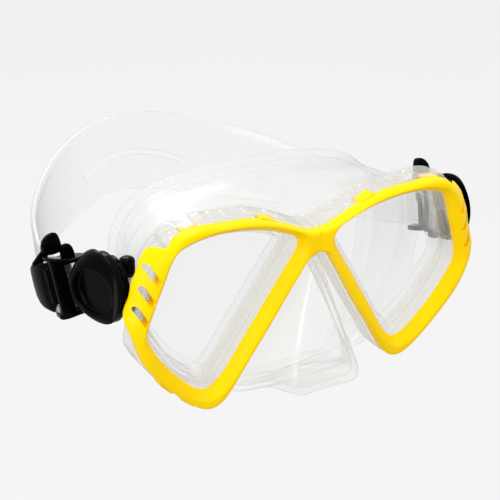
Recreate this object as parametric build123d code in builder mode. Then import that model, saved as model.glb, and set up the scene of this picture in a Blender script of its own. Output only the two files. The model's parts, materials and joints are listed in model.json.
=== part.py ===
from build123d import *
import math
import os

os.makedirs("parts", exist_ok=True)

# Junior twin-lens snorkel mask.  Millimetres.  +Z up, +Y towards the wearer's
# face, wearer's right is -X.  Origin: centre of the face seal.

# ---------------------------------------------------------------- dimensions
LENS_Y = -40.0          # lens opening plane, on the symmetry axis
TILT = 6.28             # lens plane leans forward at the top, degrees
RIM_PROUD = 3.0         # bezel rim in front of the lens opening edge
BEZEL_BACK = -2.0       # back face of the bezel
BEVEL = 2.6             # bezel bevel running down to the lens
LENS_FRONT = -2.1       # tempered glass, front face
LENS_T = 3.0
LENS_LAP = 1.1          # glass larger than the opening, each side
FRAME_FRONT = -2.05
FRAME_BACK = -11.5
POCKET_LAP = 1.3        # lens pocket in the frame, larger than the opening
SKIRT_FRONT = -11.6
WALL = 2.0              # silicone wall of the skirt
COLLAR_IN = 1.9         # silicone collar behind the glass, inside the opening
SEAL_R = 150.0          # curvature of the face the seal meets
STRAP_T = 2.2
CAP_IN, CAP_OUT = 74.7, 79.0    # swivel cap, from the middle
CAP_Y, CAP_Z = -24.0, 12.0      # swivel axis, runs along X
CAP_R = 12.2
CAP_YAW = 20.0             # the face looks a little forward
DISH_R = 7.3
DISH_DEEP = 1.6
POST_R = 4.0
RING_R = 9.6            # buckle ring that turns on the post
RING_IN, RING_OUT = 71.45, 74.4
DISC_IN, DISC_OUT = 68.6, 70.4
DISC_R = 10.0
PIN_X, PIN_Y = 65.9, -26.5      # upright pin that holds the buckle arm
PIN_R = 1.1
KNUCKLE_R = 2.3
BUCKLE_O = (-77.3, -5.0, 7.0)   # strap roller, middle (wearer's right)
BUCKLE_PITCH = 15.0     # buckle hangs down towards the back
BUCKLE_ROLL = 6.0       # and leans out at the top
ROLL_R = 1.9
SMALL_PIN_R = 0.75
LEVER_A, LEVER_C = -0.5, -6.3   # lever pivot, rearward of the roller and inward
FIT = 0.05              # radial running clearance
STRAP_GAP = 0.35        # strap clear of the roller

cT, sT = math.cos(math.radians(TILT)), math.sin(math.radians(TILT))
FRONT = Plane(origin=(0, LENS_Y, 0), x_dir=(1, 0, 0), z_dir=(0, -cT, -sT))


def front(depth):
    """Plane parallel to the lenses, depth in front of the lens opening edge."""
    return FRONT.offset(depth)


# ------------------------------------------------------------------ outlines
# Right half (x > 0) of the bezel, from the middle of the nose bridge round the
# brow, the temple and the lower corner, back up the nose side to the bridge.
OUTER = [(0, 24.2), (4, 24.7), (7.1, 26.0), (10.5, 27.5), (15, 29.5), (20, 31.4), (25, 32.8),
         (31, 33.7), (38, 34.1), (46, 34.1), (52, 33.6), (57, 32.4), (61, 30.2), (64.2, 27.2),
         (66.6, 23.8), (68.6, 19.4), (70.6, 14.0), (72.2, 8.6), (72.9, 4.4), (72.4, 0.2),
         (70.4, -5.6), (67.6, -11.6), (63.9, -17.2), (59.5, -22.4), (54.8, -27.4), (50.4, -31.5),
         (46.4, -34.7), (43.2, -36.4), (40.0, -36.8), (37.3, -35.9), (34.9, -33.9), (31.4, -28.9),
         (28.1, -23.6), (25.0, -18.6), (21.8, -13.8), (18.7, -8.9), (15.7, -4.0), (12.8, 0.9),
         (9.8, 5.8), (7.0, 10.3), (4.7, 13.8), (2.5, 15.7), (0, 16.3)]
OPENING = [(58.3, 22.4), (60.6, 16.0), (62.3, 11.6), (64.6, 5.0), (65.8, 0.8), (65.9, -2.4),
           (64.3, -6.5), (61.6, -11.1), (58.4, -15.7), (54.6, -20.3), (50.0, -25.0),
           (46.4, -28.2), (43.0, -30.0), (40.2, -30.1), (37.6, -28.4), (34.4, -25.0),
           (31.2, -20.3), (28.3, -15.6), (25.4, -10.9), (22.5, -6.3), (19.6, -1.8),
           (16.8, 2.8), (13.9, 7.2), (11.0, 11.7), (8.4, 15.8), (7.2, 19.0), (8.2, 22.3),
           (12.2, 24.8), (19.0, 27.5), (28.4, 29.7), (40.0, 30.7), (50.0, 29.4), (55.6, 26.9)]


def whole(half):
    """Whole outline from the half that starts and ends on the middle line."""
    return half + [(-x, y) for x, y in reversed(half[1:-1])]


def inset(pts, d):
    """Closed outline moved inward by d, same number of corners."""
    n = len(pts)
    area = sum(pts[i][0] * pts[(i + 1) % n][1] - pts[(i + 1) % n][0] * pts[i][1] for i in range(n))
    s = 1.0 if area > 0 else -1.0
    out = []
    for i in range(n):
        (x0, y0), (x1, y1), (x2, y2) = pts[i - 1], pts[i], pts[(i + 1) % n]
        a = math.hypot(x1 - x0, y1 - y0)
        b = math.hypot(x2 - x1, y2 - y1)
        nx = -(y1 - y0) / a - (y2 - y1) / b
        ny = (x1 - x0) / a + (x2 - x1) / b
        m = math.hypot(nx, ny)
        nx, ny = nx / m, ny / m
        k = d / max(0.5, (-(y1 - y0) / a) * nx + ((x1 - x0) / a) * ny)
        out.append((x1 + s * nx * k, y1 + s * ny * k))
    return out


# ------------------------------------------------------------- yellow bezel
# The outer panel at each temple bends back round the side of the frame.
TEMPLE_FRONT = [(61.0, 3.05), (64.0, 2.3), (67.0, 0.7), (70.0, -1.4), (76.0, -5.4)]
TEMPLE_BACK = [(76.0, -8.2), (70.5, -4.3), (67.3, BEZEL_BACK), (61.0, BEZEL_BACK)]
SLOTS = [(65.2, 21.6), (66.9, 14.6), (68.2, 7.6)]
CLIPS = [(50.0, 33.4, -4), (20.5, 31.2, 21), (57.6, -25.0, 45), (48.9, -33.1, 40)]

TEMPLE_UP = Plane(FRONT.location * Location((0, 4.0, 0), (90, 0, 0)))

with BuildPart() as front_bezel:
    with BuildSketch(front(BEZEL_BACK)):
        with BuildLine():
            Spline(*whole(OUTER), periodic=True)
        make_face()
    extrude(amount=RIM_PROUD - BEZEL_BACK)
    # temple panels
    with BuildSketch(TEMPLE_UP):
        with BuildLine():
            Polyline(*[(x, w) for x, w in TEMPLE_FRONT], (80, 8), (61, 8), close=True)
        make_face()
        mirror(about=Plane.YZ)
    extrude(amount=-32, mode=Mode.SUBTRACT)
    with BuildPart(mode=Mode.PRIVATE) as panel_shape:
        with BuildSketch(TEMPLE_UP):
            with BuildLine():
                Polyline(*TEMPLE_FRONT, *TEMPLE_BACK, close=True)
            make_face()
            mirror(about=Plane.YZ)
        extrude(amount=-26.5)
        with BuildSketch(front(-9)):
            with BuildLine():
                Spline(*whole(OUTER), periodic=True)
            make_face()
        extrude(amount=13, mode=Mode.INTERSECT)
    add(panel_shape.part)
    # lens openings with their bevels
    with BuildSketch(front(BEZEL_BACK - 4)):
        with BuildLine():
            Spline(*OPENING, periodic=True)
        make_face()
        mirror(about=Plane.YZ)
    extrude(amount=12, mode=Mode.SUBTRACT)
    for side in (1, -1):
        with BuildSketch(front(0.4)):
            with BuildLine():
                Spline(*[(side * x, z) for x, z in OPENING], periodic=True)
            make_face()
        with BuildSketch(front(RIM_PROUD + 0.2)):
            with BuildLine():
                Spline(*[(side * x, z) for x, z in inset(OPENING, -BEVEL - 0.2)], periodic=True)
            make_face()
        loft(ruled=True, mode=Mode.SUBTRACT)
    # slots through the temple panels
    with BuildSketch(front(-9)):
        for sx, sz in SLOTS:
            for side in (1, -1):
                with Locations(Location((side * sx, sz, 0), (0, 0, side * 58))):
                    SlotOverall(6.6, 2.6)
    extrude(amount=14, mode=Mode.SUBTRACT)
    # clips that hook over the clear frame
    with BuildSketch(front(-5.0)):
        for cx, cz, turn in CLIPS:
            for side in (1, -1):
                with Locations(Location((side * cx, cz, 0), (0, 0, side * turn))):
                    Rectangle(7.0, 1.5)
    extrude(amount=5.5)
front_bezel.part.label = "front_bezel"

# ------------------------------------------------------------------- lenses
with BuildPart() as lens_left:
    with BuildSketch(front(LENS_FRONT - LENS_T)):
        with BuildLine():
            Spline(*inset(OPENING, -LENS_LAP), periodic=True)
        make_face()
    extrude(amount=LENS_T)
lens_left.part.label = "lens_left"

with BuildPart() as lens_right:
    mirror(lens_left.part, about=Plane.YZ)
lens_right.part.label = "lens_right"

# -------------------------------------------------------- clear inner frame
# One ring round each lens.  The glass drops in from the front on to a shelf,
# and the bezel traps it.
with BuildPart() as inner_frame:
    with BuildSketch(front(FRAME_BACK)):
        with BuildLine():
            Spline(*whole(OUTER), periodic=True)
        make_face()
    extrude(amount=FRAME_FRONT - FRAME_BACK)
    # lens pockets, then the tunnels behind the shelf
    with BuildSketch(front(LENS_FRONT - LENS_T - 0.02)):
        with BuildLine():
            Spline(*inset(OPENING, -POCKET_LAP), periodic=True)
        make_face()
        mirror(about=Plane.YZ)
    extrude(amount=6, mode=Mode.SUBTRACT)
    with BuildSketch(front(FRAME_BACK - 1)):
        with BuildLine():
            Spline(*OPENING, periodic=True)
        make_face()
        mirror(about=Plane.YZ)
    extrude(amount=12, mode=Mode.SUBTRACT)
    # room for the bezel's temple panels and clips
    with BuildSketch(TEMPLE_UP):
        with BuildLine():
            Polyline((61.0, 2), (61.0, BEZEL_BACK - 0.05), (67.28, BEZEL_BACK - 0.05), (70.48, -4.35), (76.0, -8.25), (76, 2), close=True)
        make_face()
        mirror(about=Plane.YZ)
    extrude(amount=-32, mode=Mode.SUBTRACT)
    with BuildSketch(front(-5.05)):
        for cx, cz, turn in CLIPS:
            for side in (1, -1):
                with Locations(Location((side * cx, cz, 0), (0, 0, side * turn))):
                    Rectangle(7.1, 1.6)
    extrude(amount=5, mode=Mode.SUBTRACT)
    # the sides stop short of the buckle arms
    with BuildSketch(front(FRAME_BACK - 1)):
        with Locations((74.0, 10), (-74.0, 10)):
            Rectangle(12, 44)
    extrude(amount=-(FRAME_BACK - 1) - 5.9, mode=Mode.SUBTRACT)
    # lug at each side for the upright pin
    for side in (1, -1):
        with BuildSketch(Plane.XY.offset(6.4)):
            with Locations((side * PIN_X, PIN_Y)):
                Circle(KNUCKLE_R)
            with Locations((side * PIN_X, PIN_Y - 2.6)):
                Rectangle(4.6, 5.2)
        extrude(amount=8.6)
        with Locations((side * PIN_X, PIN_Y, 15)):
            Hole(PIN_R + 0.02, depth=8.7)
inner_frame.part.label = "inner_frame"
# -------------------------------------------------------------------- skirt
# Corners of the silicone body, middle of the brow round to middle of the lip.
SKIRT_F = [(0, 23.4), (12, 27.2), (25, 31.6), (38, 32.9), (50, 32.2), (58.5, 27.5), (62.3, 10),
           (64.6, -3), (56.6, -18), (48.5, -27.5), (41.5, -33.6), (24, -37.8), (0, -38.6)]
SKIRT_M = [(0, 34.6), (13, 34.4), (26, 33.4), (38, 31.8), (48.5, 28.4), (56.0, 21), (59.6, 8),
           (57.6, -7), (51.5, -20), (44.5, -31), (36, -37.6), (20, -41), (0, -42)]
SKIRT_R = [(0, 40.4), (13, 39.8), (26, 38.4), (38, 35.8), (48, 31), (56, 22), (59.5, 8),
           (56, -7), (49, -20), (41, -30), (32.5, -36.5), (19, -40.8), (0, -42.5)]
M_PLANE = Plane(origin=(0, -14, 0), x_dir=(1, 0, 0), z_dir=(0, -1, 0))
c15, s15 = math.cos(math.radians(15)), math.sin(math.radians(15))
R_PLANE = Plane(origin=(0, 18, 0), x_dir=(1, 0, 0), z_dir=(0, -c15, s15))
# Nose pocket, upright stations: height, front half width, front y, back half width
NOSE = [(14.2, 0.9, -43.0, 2.2), (0.0, 4.8, -45.5, 12.4), (-15.0, 8.6, -47.6, 21.0),
        (-28.0, 12.0, -51.0, 28.6), (-37.0, 12.6, -52.5, 29.0), (-46.0, 10.0, -52.0, 20.0)]
NOSE_BACK = -22.0


def loft_body(sections):
    with BuildPart(mode=Mode.PRIVATE) as body:
        for plane, pts in sections:
            with BuildSketch(plane):
                with BuildLine():
                    Polyline(*pts, close=True)
                make_face()
        loft(ruled=True)
    return body.part


def nose_body(d):
    secs = []
    for z, f, yf, b in NOSE:
        top = z - (2.0 * d if z > 5 else 0)
        ff, bb = max(0.4, f - 0.9 * d), max(0.8, b - 1.25 * d)
        secs.append((Plane.XY.offset(top), [(-ff, yf + d), (ff, yf + d), (bb, NOSE_BACK), (-bb, NOSE_BACK)]))
    body = loft_body(secs)
    # the lower side slopes down towards the lip
    with BuildPart(mode=Mode.PRIVATE) as cut:
        with BuildSketch(Plane.YZ.offset(-50)):
            with BuildLine():
                Polyline((-60, -31.0 + d + 2.4), (-50, -31.0 + d - 1.2), (-40, -35.4 + d), (-18, -43.1 + d), (-18, -60), (-60, -60), close=True)
            make_face()
        extrude(amount=100)
    return body - cut.part


with BuildPart() as skirt:
    add(loft_body([(front(SKIRT_FRONT), whole(SKIRT_F)), (M_PLANE, whole(SKIRT_M)),
                   (R_PLANE, whole(SKIRT_R))]))
    add(nose_body(0))
    # inside of the mask
    add(loft_body([(front(SKIRT_FRONT - WALL), inset(whole(SKIRT_F), WALL + 0.2)),
                   (M_PLANE, inset(whole(SKIRT_M), WALL)),
                   (R_PLANE, inset(whole(SKIRT_R), WALL))]), mode=Mode.SUBTRACT)
    add(nose_body(WALL), mode=Mode.SUBTRACT)
    # collars that run forward into the frame and press on the back of the glass
    with BuildSketch(front(SKIRT_FRONT - 1)):
        with BuildLine():
            Spline(*inset(OPENING, COLLAR_IN), periodic=True)
        make_face()
        mirror(about=Plane.YZ)
    extrude(amount=-(SKIRT_FRONT - 1) - 5.2)
    with BuildSketch(front(SKIRT_FRONT - WALL - 1)):
        with BuildLine():
            Spline(*inset(OPENING, COLLAR_IN + 1.5), periodic=True)
        make_face()
        mirror(about=Plane.YZ)
    extrude(amount=12, mode=Mode.SUBTRACT)
    # the rear edge follows the face
    mid = Vector(0, -9, -1.75)
    axis = Plane(origin=mid + Vector(0, c15, -s15) * SEAL_R - Vector(0, s15, c15) * 80,
                 x_dir=(1, 0, 0), z_dir=(0, s15, c15))
    with BuildSketch(axis):
        Circle(SEAL_R)
    extrude(amount=170, mode=Mode.SUBTRACT)
skirt.part.label = "skirt"

# -------------------------------------------------------------------- strap
# Right half, centre of the band from the buckle to the back of the head:
# x, y, z, half height.
P, Q = math.radians(BUCKLE_PITCH), math.radians(BUCKLE_ROLL)
LONG = Vector(0, math.cos(P), -math.sin(P))
UP0 = Vector(0, math.sin(P), math.cos(P))
OUT0 = Vector(-1, 0, 0)
UP = UP0 * math.cos(Q) + OUT0 * math.sin(Q)
INWARD = OUT0 * -math.cos(Q) + UP0 * math.sin(Q)
ORIGIN_B = Vector(*BUCKLE_O)


def bk(a, b, c):
    """Point in the right buckle's frame: rearward, up, inward."""
    return ORIGIN_B + LONG * a + UP * b + INWARD * c


BAND_C = ROLL_R + STRAP_GAP + STRAP_T / 2
HALF_W = 7.6
BAND = [(-74.0, 17.5, 1.5, 7.9), (-72.9, 29.0, 0.7, 8.8), (-69.6, 42.0, 1.0, 10.4), (-63.8, 56.0, 2.0, 12.6),
        (-55.6, 69.4, 3.7, 14.8), (-45.6, 81.4, 5.6, 16.5), (-34.4, 91.6, 7.7, 17.5),
        (-23.0, 98.9, 10.0, 17.8), (-11.4, 103.6, 11.9, 17.5)]
BAND_END = (0.0, 105.2, 12.7, 17.3)

stations = []           # centre, along, across (height), half height
for a in (13.5, 7.0, 0.0):
    stations.append((bk(a, 0, -BAND_C), LONG * -1, UP, HALF_W))
for i in range(1, 8):
    t = math.pi * i / 8
    stations.append((bk(-BAND_C * math.sin(t), 0, -BAND_C * math.cos(t)),
                     LONG * -math.cos(t) + INWARD * math.sin(t), UP, HALF_W))
stations.append((bk(0.0, 0, BAND_C), LONG, UP, HALF_W))
stations.append((bk(8.0, 0, BAND_C), LONG, UP, HALF_W))
route = [bk(8.0, 0, BAND_C)] + [Vector(x, y, z) for x, y, z, h in BAND] + [Vector(*BAND_END[:3])]
for i, (x, y, z, h) in enumerate(BAND, start=1):
    along = (route[i + 1] - route[i - 1]).normalized()
    k = max(0.0, 1.0 - i / 5.0)
    up = (UP * k + Vector(0, 0, 1) * (1 - k))
    up = (up - along * up.dot(along)).normalized()
    stations.append((Vector(x, y, z), along, up, h))
stations.append((Vector(*BAND_END[:3]), Vector(1, 0, 0), Vector(0, 0, 1), BAND_END[3]))

with BuildPart() as strap:
    for centre, along, up, h in stations:
        with BuildSketch(Plane(origin=centre, x_dir=up, z_dir=along)):
            Rectangle(2 * h, STRAP_T)
    loft(ruled=True)
    mirror(about=Plane.YZ)
    # slot across the back, following the arch of the pad
    SLOT_MID = [(-23, 7.6), (-17, 9.6), (-9, 11.8), (0, 12.7), (9, 11.8), (17, 9.6), (23, 7.6)]
    with BuildSketch(Plane.XZ.offset(-85)):
        with BuildLine():
            Polyline(*[(x, z + 1.2) for x, z in SLOT_MID], (24.2, 7.2), *[(x, z - 1.2) for x, z in reversed(SLOT_MID)],
                     (-24.2, 7.2), close=True)
        make_face()
    extrude(amount=-30, mode=Mode.SUBTRACT)
strap.part.label = "strap"

# ------------------------------------------------ wearer's right buckle base
# Axis X through the swivel, from the head outwards.
SWIVEL = Plane(origin=(0, CAP_Y, CAP_Z), x_dir=(0, 1, 0), z_dir=(-1, 0, 0))

with BuildPart() as hinge_pin_right:
    with BuildSketch(Plane.XY.offset(2.6)):
        with Locations((-PIN_X, PIN_Y)):
            Circle(PIN_R)
    extrude(amount=18.0)
    with BuildSketch(Plane.XY.offset(20.6)):
        with Locations((-PIN_X, PIN_Y)):
            Circle(2.1)
    extrude(amount=0.95)
    fillet(hinge_pin_right.edges().filter_by(GeomType.CIRCLE).sort_by(Axis.Z)[-1], radius=0.5)
hinge_pin_right.part.label = "hinge_pin_right"

with BuildPart() as buckle_arm_right:
    with BuildSketch(SWIVEL.offset(DISC_IN)):
        Circle(DISC_R)
    extrude(amount=DISC_OUT - DISC_IN)
    with BuildSketch(SWIVEL.offset(DISC_OUT)):
        Circle(POST_R)
    extrude(amount=76.6 - DISC_OUT)
    # two knuckles that straddle the lug
    for z0, z1 in ((15.3, 20.6), (3.0, 6.1)):
        with BuildSketch(Plane.XY.offset(z0)):
            with Locations((-PIN_X, PIN_Y)):
                Circle(KNUCKLE_R - 0.1)
            with Locations((-(PIN_X + 2.15), PIN_Y + 0.6)):
                Rectangle(4.3, 3.6)
        extrude(amount=z1 - z0)
    with Locations((-PIN_X, PIN_Y, 20.6)):
        Hole(PIN_R + 0.02, depth=19)
buckle_arm_right.part.label = "buckle_arm_right"

with BuildPart() as swivel_washer_right:
    with BuildSketch(SWIVEL.offset(DISC_OUT + 0.05)):
        Circle(7.0)
        Circle(POST_R + 0.1, mode=Mode.SUBTRACT)
    extrude(amount=0.65)
swivel_washer_right.part.label = "swivel_washer_right"

# Cap: round, dished, its face turned a little forward; it snaps on the post.
CAP_FACE = Plane(Location(Plane(origin=(-CAP_OUT, CAP_Y, CAP_Z), x_dir=(0, 1, 0), z_dir=(-1, 0, 0)))
                 * Location((0, 0, 0), (0, -CAP_YAW, 0)))
with BuildPart() as swivel_cap_right:
    with BuildSketch(CAP_FACE.offset(-10)):
        Circle(CAP_R)
    extrude(amount=10)
    chamfer(swivel_cap_right.edges().filter_by(GeomType.CIRCLE).sort_by(Axis.X)[0], length=2.0)
    with BuildSketch(CAP_FACE.offset(-DISH_DEEP)):
        Circle(DISH_R)
    extrude(amount=5, taper=-25, mode=Mode.SUBTRACT)
    with BuildSketch(SWIVEL.offset(CAP_IN - 20)):
        Rectangle(60, 60)
    extrude(amount=20, mode=Mode.SUBTRACT)
    with BuildSketch(SWIVEL.offset(CAP_IN - 1)):
        Circle(POST_R + 0.02)
    extrude(amount=76.7 - CAP_IN + 1, mode=Mode.SUBTRACT)
swivel_cap_right.part.label = "swivel_cap_right"

# ----------------------------------------------- wearer's right buckle frame
BUCKLE = Plane(origin=ORIGIN_B, x_dir=LONG, z_dir=INWARD)       # y is up
RING = Plane(origin=(0, CAP_Y, CAP_Z), x_dir=LONG, z_dir=(1, 0, 0))

with BuildPart() as buckle_frame_right:
    # ring and the flat plate beside the cap
    with BuildSketch(RING.offset(-RING_OUT)):
        Circle(RING_R)
        with Locations((6.3, 8.8), (6.3, -8.8)):
            Rectangle(14.0, 1.9)
        with Locations((9.2, 0)):
            Rectangle(2.4, 17.0)
        Circle(POST_R + 0.08, mode=Mode.SUBTRACT)
    extrude(amount=RING_OUT - RING_IN)
    # upper and lower cheeks that carry the roller and the lever
    with BuildSketch(Plane(origin=bk(0, 8.1, 0), x_dir=LONG, z_dir=UP)):
        with BuildLine():
            # local y is outward
            Polyline((-6.4, -5.4), (4.5, -5.4), (8.5, -2.0), (9.5, 3.0), (4.0, 7.8), (-5.8, 7.8), (-6.4, 7.2), close=True)
        make_face()
    extrude(amount=1.7)
    with BuildSketch(Plane(origin=bk(0, -9.8, 0), x_dir=LONG, z_dir=UP)):
        with BuildLine():
            Polyline((-6.4, -5.4), (3.5, -5.4), (4.6, -2.0), (4.6, 4.0), (2.6, 7.8), (-5.8, 7.8), (-6.4, 7.2), close=True)
        make_face()
    extrude(amount=1.7)
    # small fixed finger rib on the upper cheek
    with BuildSketch(Plane(origin=bk(0, 9.7, -1.7), x_dir=LONG, z_dir=UP)):
        with Locations((0, -3.4)):
            Rectangle(2.0, 4.2)
    extrude(amount=4.5)
    # front cross bar, ahead of the strap's loop
    with BuildSketch(Plane(origin=bk(0, -9.0, 0), x_dir=LONG, z_dir=UP)):
        with Locations((-5.6, 5.1)):
            Rectangle(1.6, 5.0)
    extrude(amount=18.0)
    # pin holes
    for a, c in ((0, 0), (LEVER_A, LEVER_C)):
        with BuildSketch(Plane(origin=bk(a, -14, c), x_dir=LONG, z_dir=UP)):
            Circle(SMALL_PIN_R + 0.02)
        extrude(amount=26, mode=Mode.SUBTRACT)
buckle_frame_right.part.label = "buckle_frame_right"

with BuildPart() as strap_roller_right:
    with BuildSketch(Plane(origin=bk(0, -7.7, 0), x_dir=LONG, z_dir=UP)):
        Circle(ROLL_R)
        Circle(SMALL_PIN_R + FIT, mode=Mode.SUBTRACT)
    extrude(amount=15.4)
strap_roller_right.part.label = "strap_roller_right"

with BuildPart() as roller_pin_right:
    with BuildSketch(Plane(origin=bk(0, -9.8, 0), x_dir=LONG, z_dir=UP)):
        Circle(SMALL_PIN_R)
    extrude(amount=19.4)
roller_pin_right.part.label = "roller_pin_right"

with BuildPart() as lever_pin_right:
    with BuildSketch(Plane(origin=bk(LEVER_A, -9.8, LEVER_C), x_dir=LONG, z_dir=UP)):
        Circle(SMALL_PIN_R)
    extrude(amount=19.4)
lever_pin_right.part.label = "lever_pin_right"

# Release lever: barrel, curved cover plate, pawl edge and ribbed finger tab.
with BuildPart() as release_lever_right:
    with BuildSketch(Plane(origin=bk(0, -4.2, 0), x_dir=LONG, z_dir=UP)):
        with Locations((LEVER_A, -LEVER_C)):
            Circle(1.45)
    extrude(amount=12.0)
    with BuildSketch(Plane(origin=bk(0, -7.5, 0), x_dir=LONG, z_dir=UP)):
        with BuildLine():
            # plate, outward is +y: outer skin then inner skin
            Spline((-1.6, 6.9), (3.0, 8.6), (8.0, 9.0), (13.0, 8.0), (17.4, 5.4))
            Line((17.4, 5.4), (16.6, 4.9))
            Spline((16.6, 4.9), (12.4, 6.6), (8.0, 7.4), (3.4, 6.9), (0.2, 4.95))
            Line((0.2, 4.95), (-1.6, 6.9))
        make_face()
    extrude(amount=15.3)
    # the plate narrows towards its free end, and clears the barrel's ends
    with BuildSketch(BUCKLE.offset(-14)):
        with BuildLine():
            Polyline((9.5, 7.9), (16.4, 4.6), (18.2, 0.5), (15.0, -4.6), (6.0, -7.6), (6.0, -12), (24, -12), (24, 12), (9.5, 12), close=True)
        make_face()
    extrude(amount=12, mode=Mode.SUBTRACT)
    # neck round the end of the upper cheek, arm over it, and the upright ribbed tab
    with BuildSketch(Plane(origin=bk(0, 7.0, 0), x_dir=LONG, z_dir=UP)):
        with Locations((6.2, 9.5)):
            Rectangle(6.0, 1.4)
    extrude(amount=5.0)
    with BuildSketch(Plane(origin=bk(0, 10.2, 0), x_dir=LONG, z_dir=UP)):
        with BuildLine():
            Polyline((1.4, -1.2), (4.1, -1.2), (4.1, 3.4), (9.2, 8.8), (9.2, 10.2), (3.2, 10.2), (1.4, 6.0), close=True)
        make_face()
    extrude(amount=1.8)
    with BuildSketch(Plane(origin=bk(1.4, 0, 0), x_dir=-INWARD, z_dir=LONG)):
        with BuildLine():
            # outward, up
            Polyline((-1.2, 11.0), (6.0, 11.0), (6.0, 14.6), (4.6, 17.2), (2.4, 18.5), (0.4, 18.2), (-1.0, 16.0), close=True)
        make_face()
    extrude(amount=2.7)
    with BuildSketch(Plane(origin=bk(1.0, 0, 0), x_dir=-INWARD, z_dir=LONG)):
        for i in range(4):
            with Locations((2.4, 13.0 + 1.3 * i)):
                Rectangle(12.0, 0.45)
    extrude(amount=0.8, mode=Mode.SUBTRACT)
    with BuildSketch(Plane(origin=bk(LEVER_A, -14, LEVER_C), x_dir=LONG, z_dir=UP)):
        Circle(SMALL_PIN_R + FIT)
    extrude(amount=30, mode=Mode.SUBTRACT)
    # seat of the spring
    with BuildSketch(Plane(origin=bk(LEVER_A, -8, LEVER_C), x_dir=LONG, z_dir=UP)):
        Circle(1.75)
    extrude(amount=3.6, mode=Mode.SUBTRACT)
release_lever_right.part.label = "release_lever_right"

# Torsion spring on the lever pin, below the barrel.
with BuildPart() as lever_spring_right:
    for i in range(5):
        with BuildSketch(Plane(origin=bk(LEVER_A, -7.3 + 0.55 * i, LEVER_C), x_dir=LONG, z_dir=INWARD)):
            with Locations((1.2, 0)):
                Circle(0.3)
        revolve(axis=Axis(bk(LEVER_A, 0, LEVER_C), UP), revolution_arc=360)
lever_spring_right.part.label = "lever_spring_right"

RIGHT = [hinge_pin_right, buckle_arm_right, swivel_washer_right, swivel_cap_right, buckle_frame_right,
         strap_roller_right, roller_pin_right, lever_pin_right, release_lever_right, lever_spring_right]
LEFT = []
for piece in RIGHT:
    with BuildPart() as other_side:
        mirror(piece.part, about=Plane.YZ)
    other_side.part.label = piece.part.label.replace("_right", "_left")
    LEFT.append(other_side)

for piece in [skirt, inner_frame, front_bezel, lens_left, lens_right, strap] + RIGHT + LEFT:
    export_step(piece.part, "parts/" + piece.part.label + ".step")

print("right buckle frame: long", LONG, "up", UP, "inward", INWARD)
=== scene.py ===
import json
import math

import bmesh
import bpy
import numpy as np
from mathutils import Matrix, Vector


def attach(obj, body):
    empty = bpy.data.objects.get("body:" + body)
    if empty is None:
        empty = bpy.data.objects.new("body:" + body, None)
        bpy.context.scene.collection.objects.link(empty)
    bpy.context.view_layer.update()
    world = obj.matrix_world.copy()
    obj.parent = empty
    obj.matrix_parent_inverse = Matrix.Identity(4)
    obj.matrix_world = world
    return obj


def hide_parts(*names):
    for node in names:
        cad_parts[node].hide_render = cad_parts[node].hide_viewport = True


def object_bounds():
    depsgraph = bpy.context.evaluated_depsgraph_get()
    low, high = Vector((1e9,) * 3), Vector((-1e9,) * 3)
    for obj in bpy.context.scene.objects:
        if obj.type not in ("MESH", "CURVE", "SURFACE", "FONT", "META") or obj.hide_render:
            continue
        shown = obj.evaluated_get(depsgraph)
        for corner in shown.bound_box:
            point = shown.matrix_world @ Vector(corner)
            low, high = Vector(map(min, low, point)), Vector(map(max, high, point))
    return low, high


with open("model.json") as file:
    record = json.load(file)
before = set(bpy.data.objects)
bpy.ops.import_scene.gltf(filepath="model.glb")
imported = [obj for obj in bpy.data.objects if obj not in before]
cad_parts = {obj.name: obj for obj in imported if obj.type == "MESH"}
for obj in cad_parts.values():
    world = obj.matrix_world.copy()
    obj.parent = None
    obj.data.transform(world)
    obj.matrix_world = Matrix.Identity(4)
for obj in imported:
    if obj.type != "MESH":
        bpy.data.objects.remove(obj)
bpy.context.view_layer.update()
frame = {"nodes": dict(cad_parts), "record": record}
MM = 0.001
SCENE = bpy.context.scene

# ---------------------------------------------------------------------------
# Shared dimensions, in millimetres, the same as the CAD's
# ---------------------------------------------------------------------------
LENS_Y, TILT = -40.0, math.radians(6.28)
CT, ST = math.cos(TILT), math.sin(TILT)
OUTER = [(0, 24.2), (4, 24.7), (7.1, 26.0), (10.5, 27.5), (15, 29.5), (20, 31.4), (25, 32.8),
         (31, 33.7), (38, 34.1), (45, 34.5), (50.5, 34.2), (54.6, 33.2), (57.4, 31.5), (59.2, 29.7), (61.4, 29.2),
         (63.8, 28.6), (65.6, 27.0), (67.2, 24.8), (68.3, 22.0), (69.8, 18.8), (70.7, 16.0), (71.3, 13.0), (72.4, 10.0),
         (73.35, 7.0), (73.4, 4.0), (72.5, 1.0), (71.3, -2.0), (70.0, -5.6), (67.6, -11.6), (63.9, -17.2), (59.5, -22.4), (54.8, -27.4), (50.4, -31.5),
         (46.4, -34.7), (43.2, -36.4), (40.0, -36.8), (37.3, -35.9), (34.9, -33.9), (31.4, -28.9),
         (28.1, -23.6), (25.0, -18.6), (21.8, -13.8), (18.7, -8.9), (15.7, -4.0), (12.8, 0.9),
         (9.8, 5.8), (7.0, 10.3), (4.7, 13.8), (2.5, 15.7), (0, 16.3)]
OPENING = [(58.3, 22.4), (60.6, 16.0), (62.3, 11.6), (64.6, 5.0), (65.8, 0.8), (65.9, -2.4),
           (64.3, -6.5), (61.6, -11.1), (58.4, -15.7), (54.6, -20.3), (50.0, -25.0),
           (46.4, -28.2), (43.0, -30.0), (40.2, -30.1), (37.6, -28.4), (34.4, -25.0),
           (31.2, -20.3), (28.3, -15.6), (25.4, -10.9), (22.5, -6.3), (19.6, -1.8),
           (16.8, 2.8), (13.9, 7.2), (11.0, 11.7), (8.4, 15.8), (7.2, 19.0), (8.2, 22.3),
           (12.2, 24.8), (19.0, 27.5), (28.4, 29.7), (40.0, 30.7), (50.0, 29.4), (55.6, 26.9)]
SLOTS = [(64.9, 21.2), (67.0, 14.2), (69.1, 7.2)]
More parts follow.
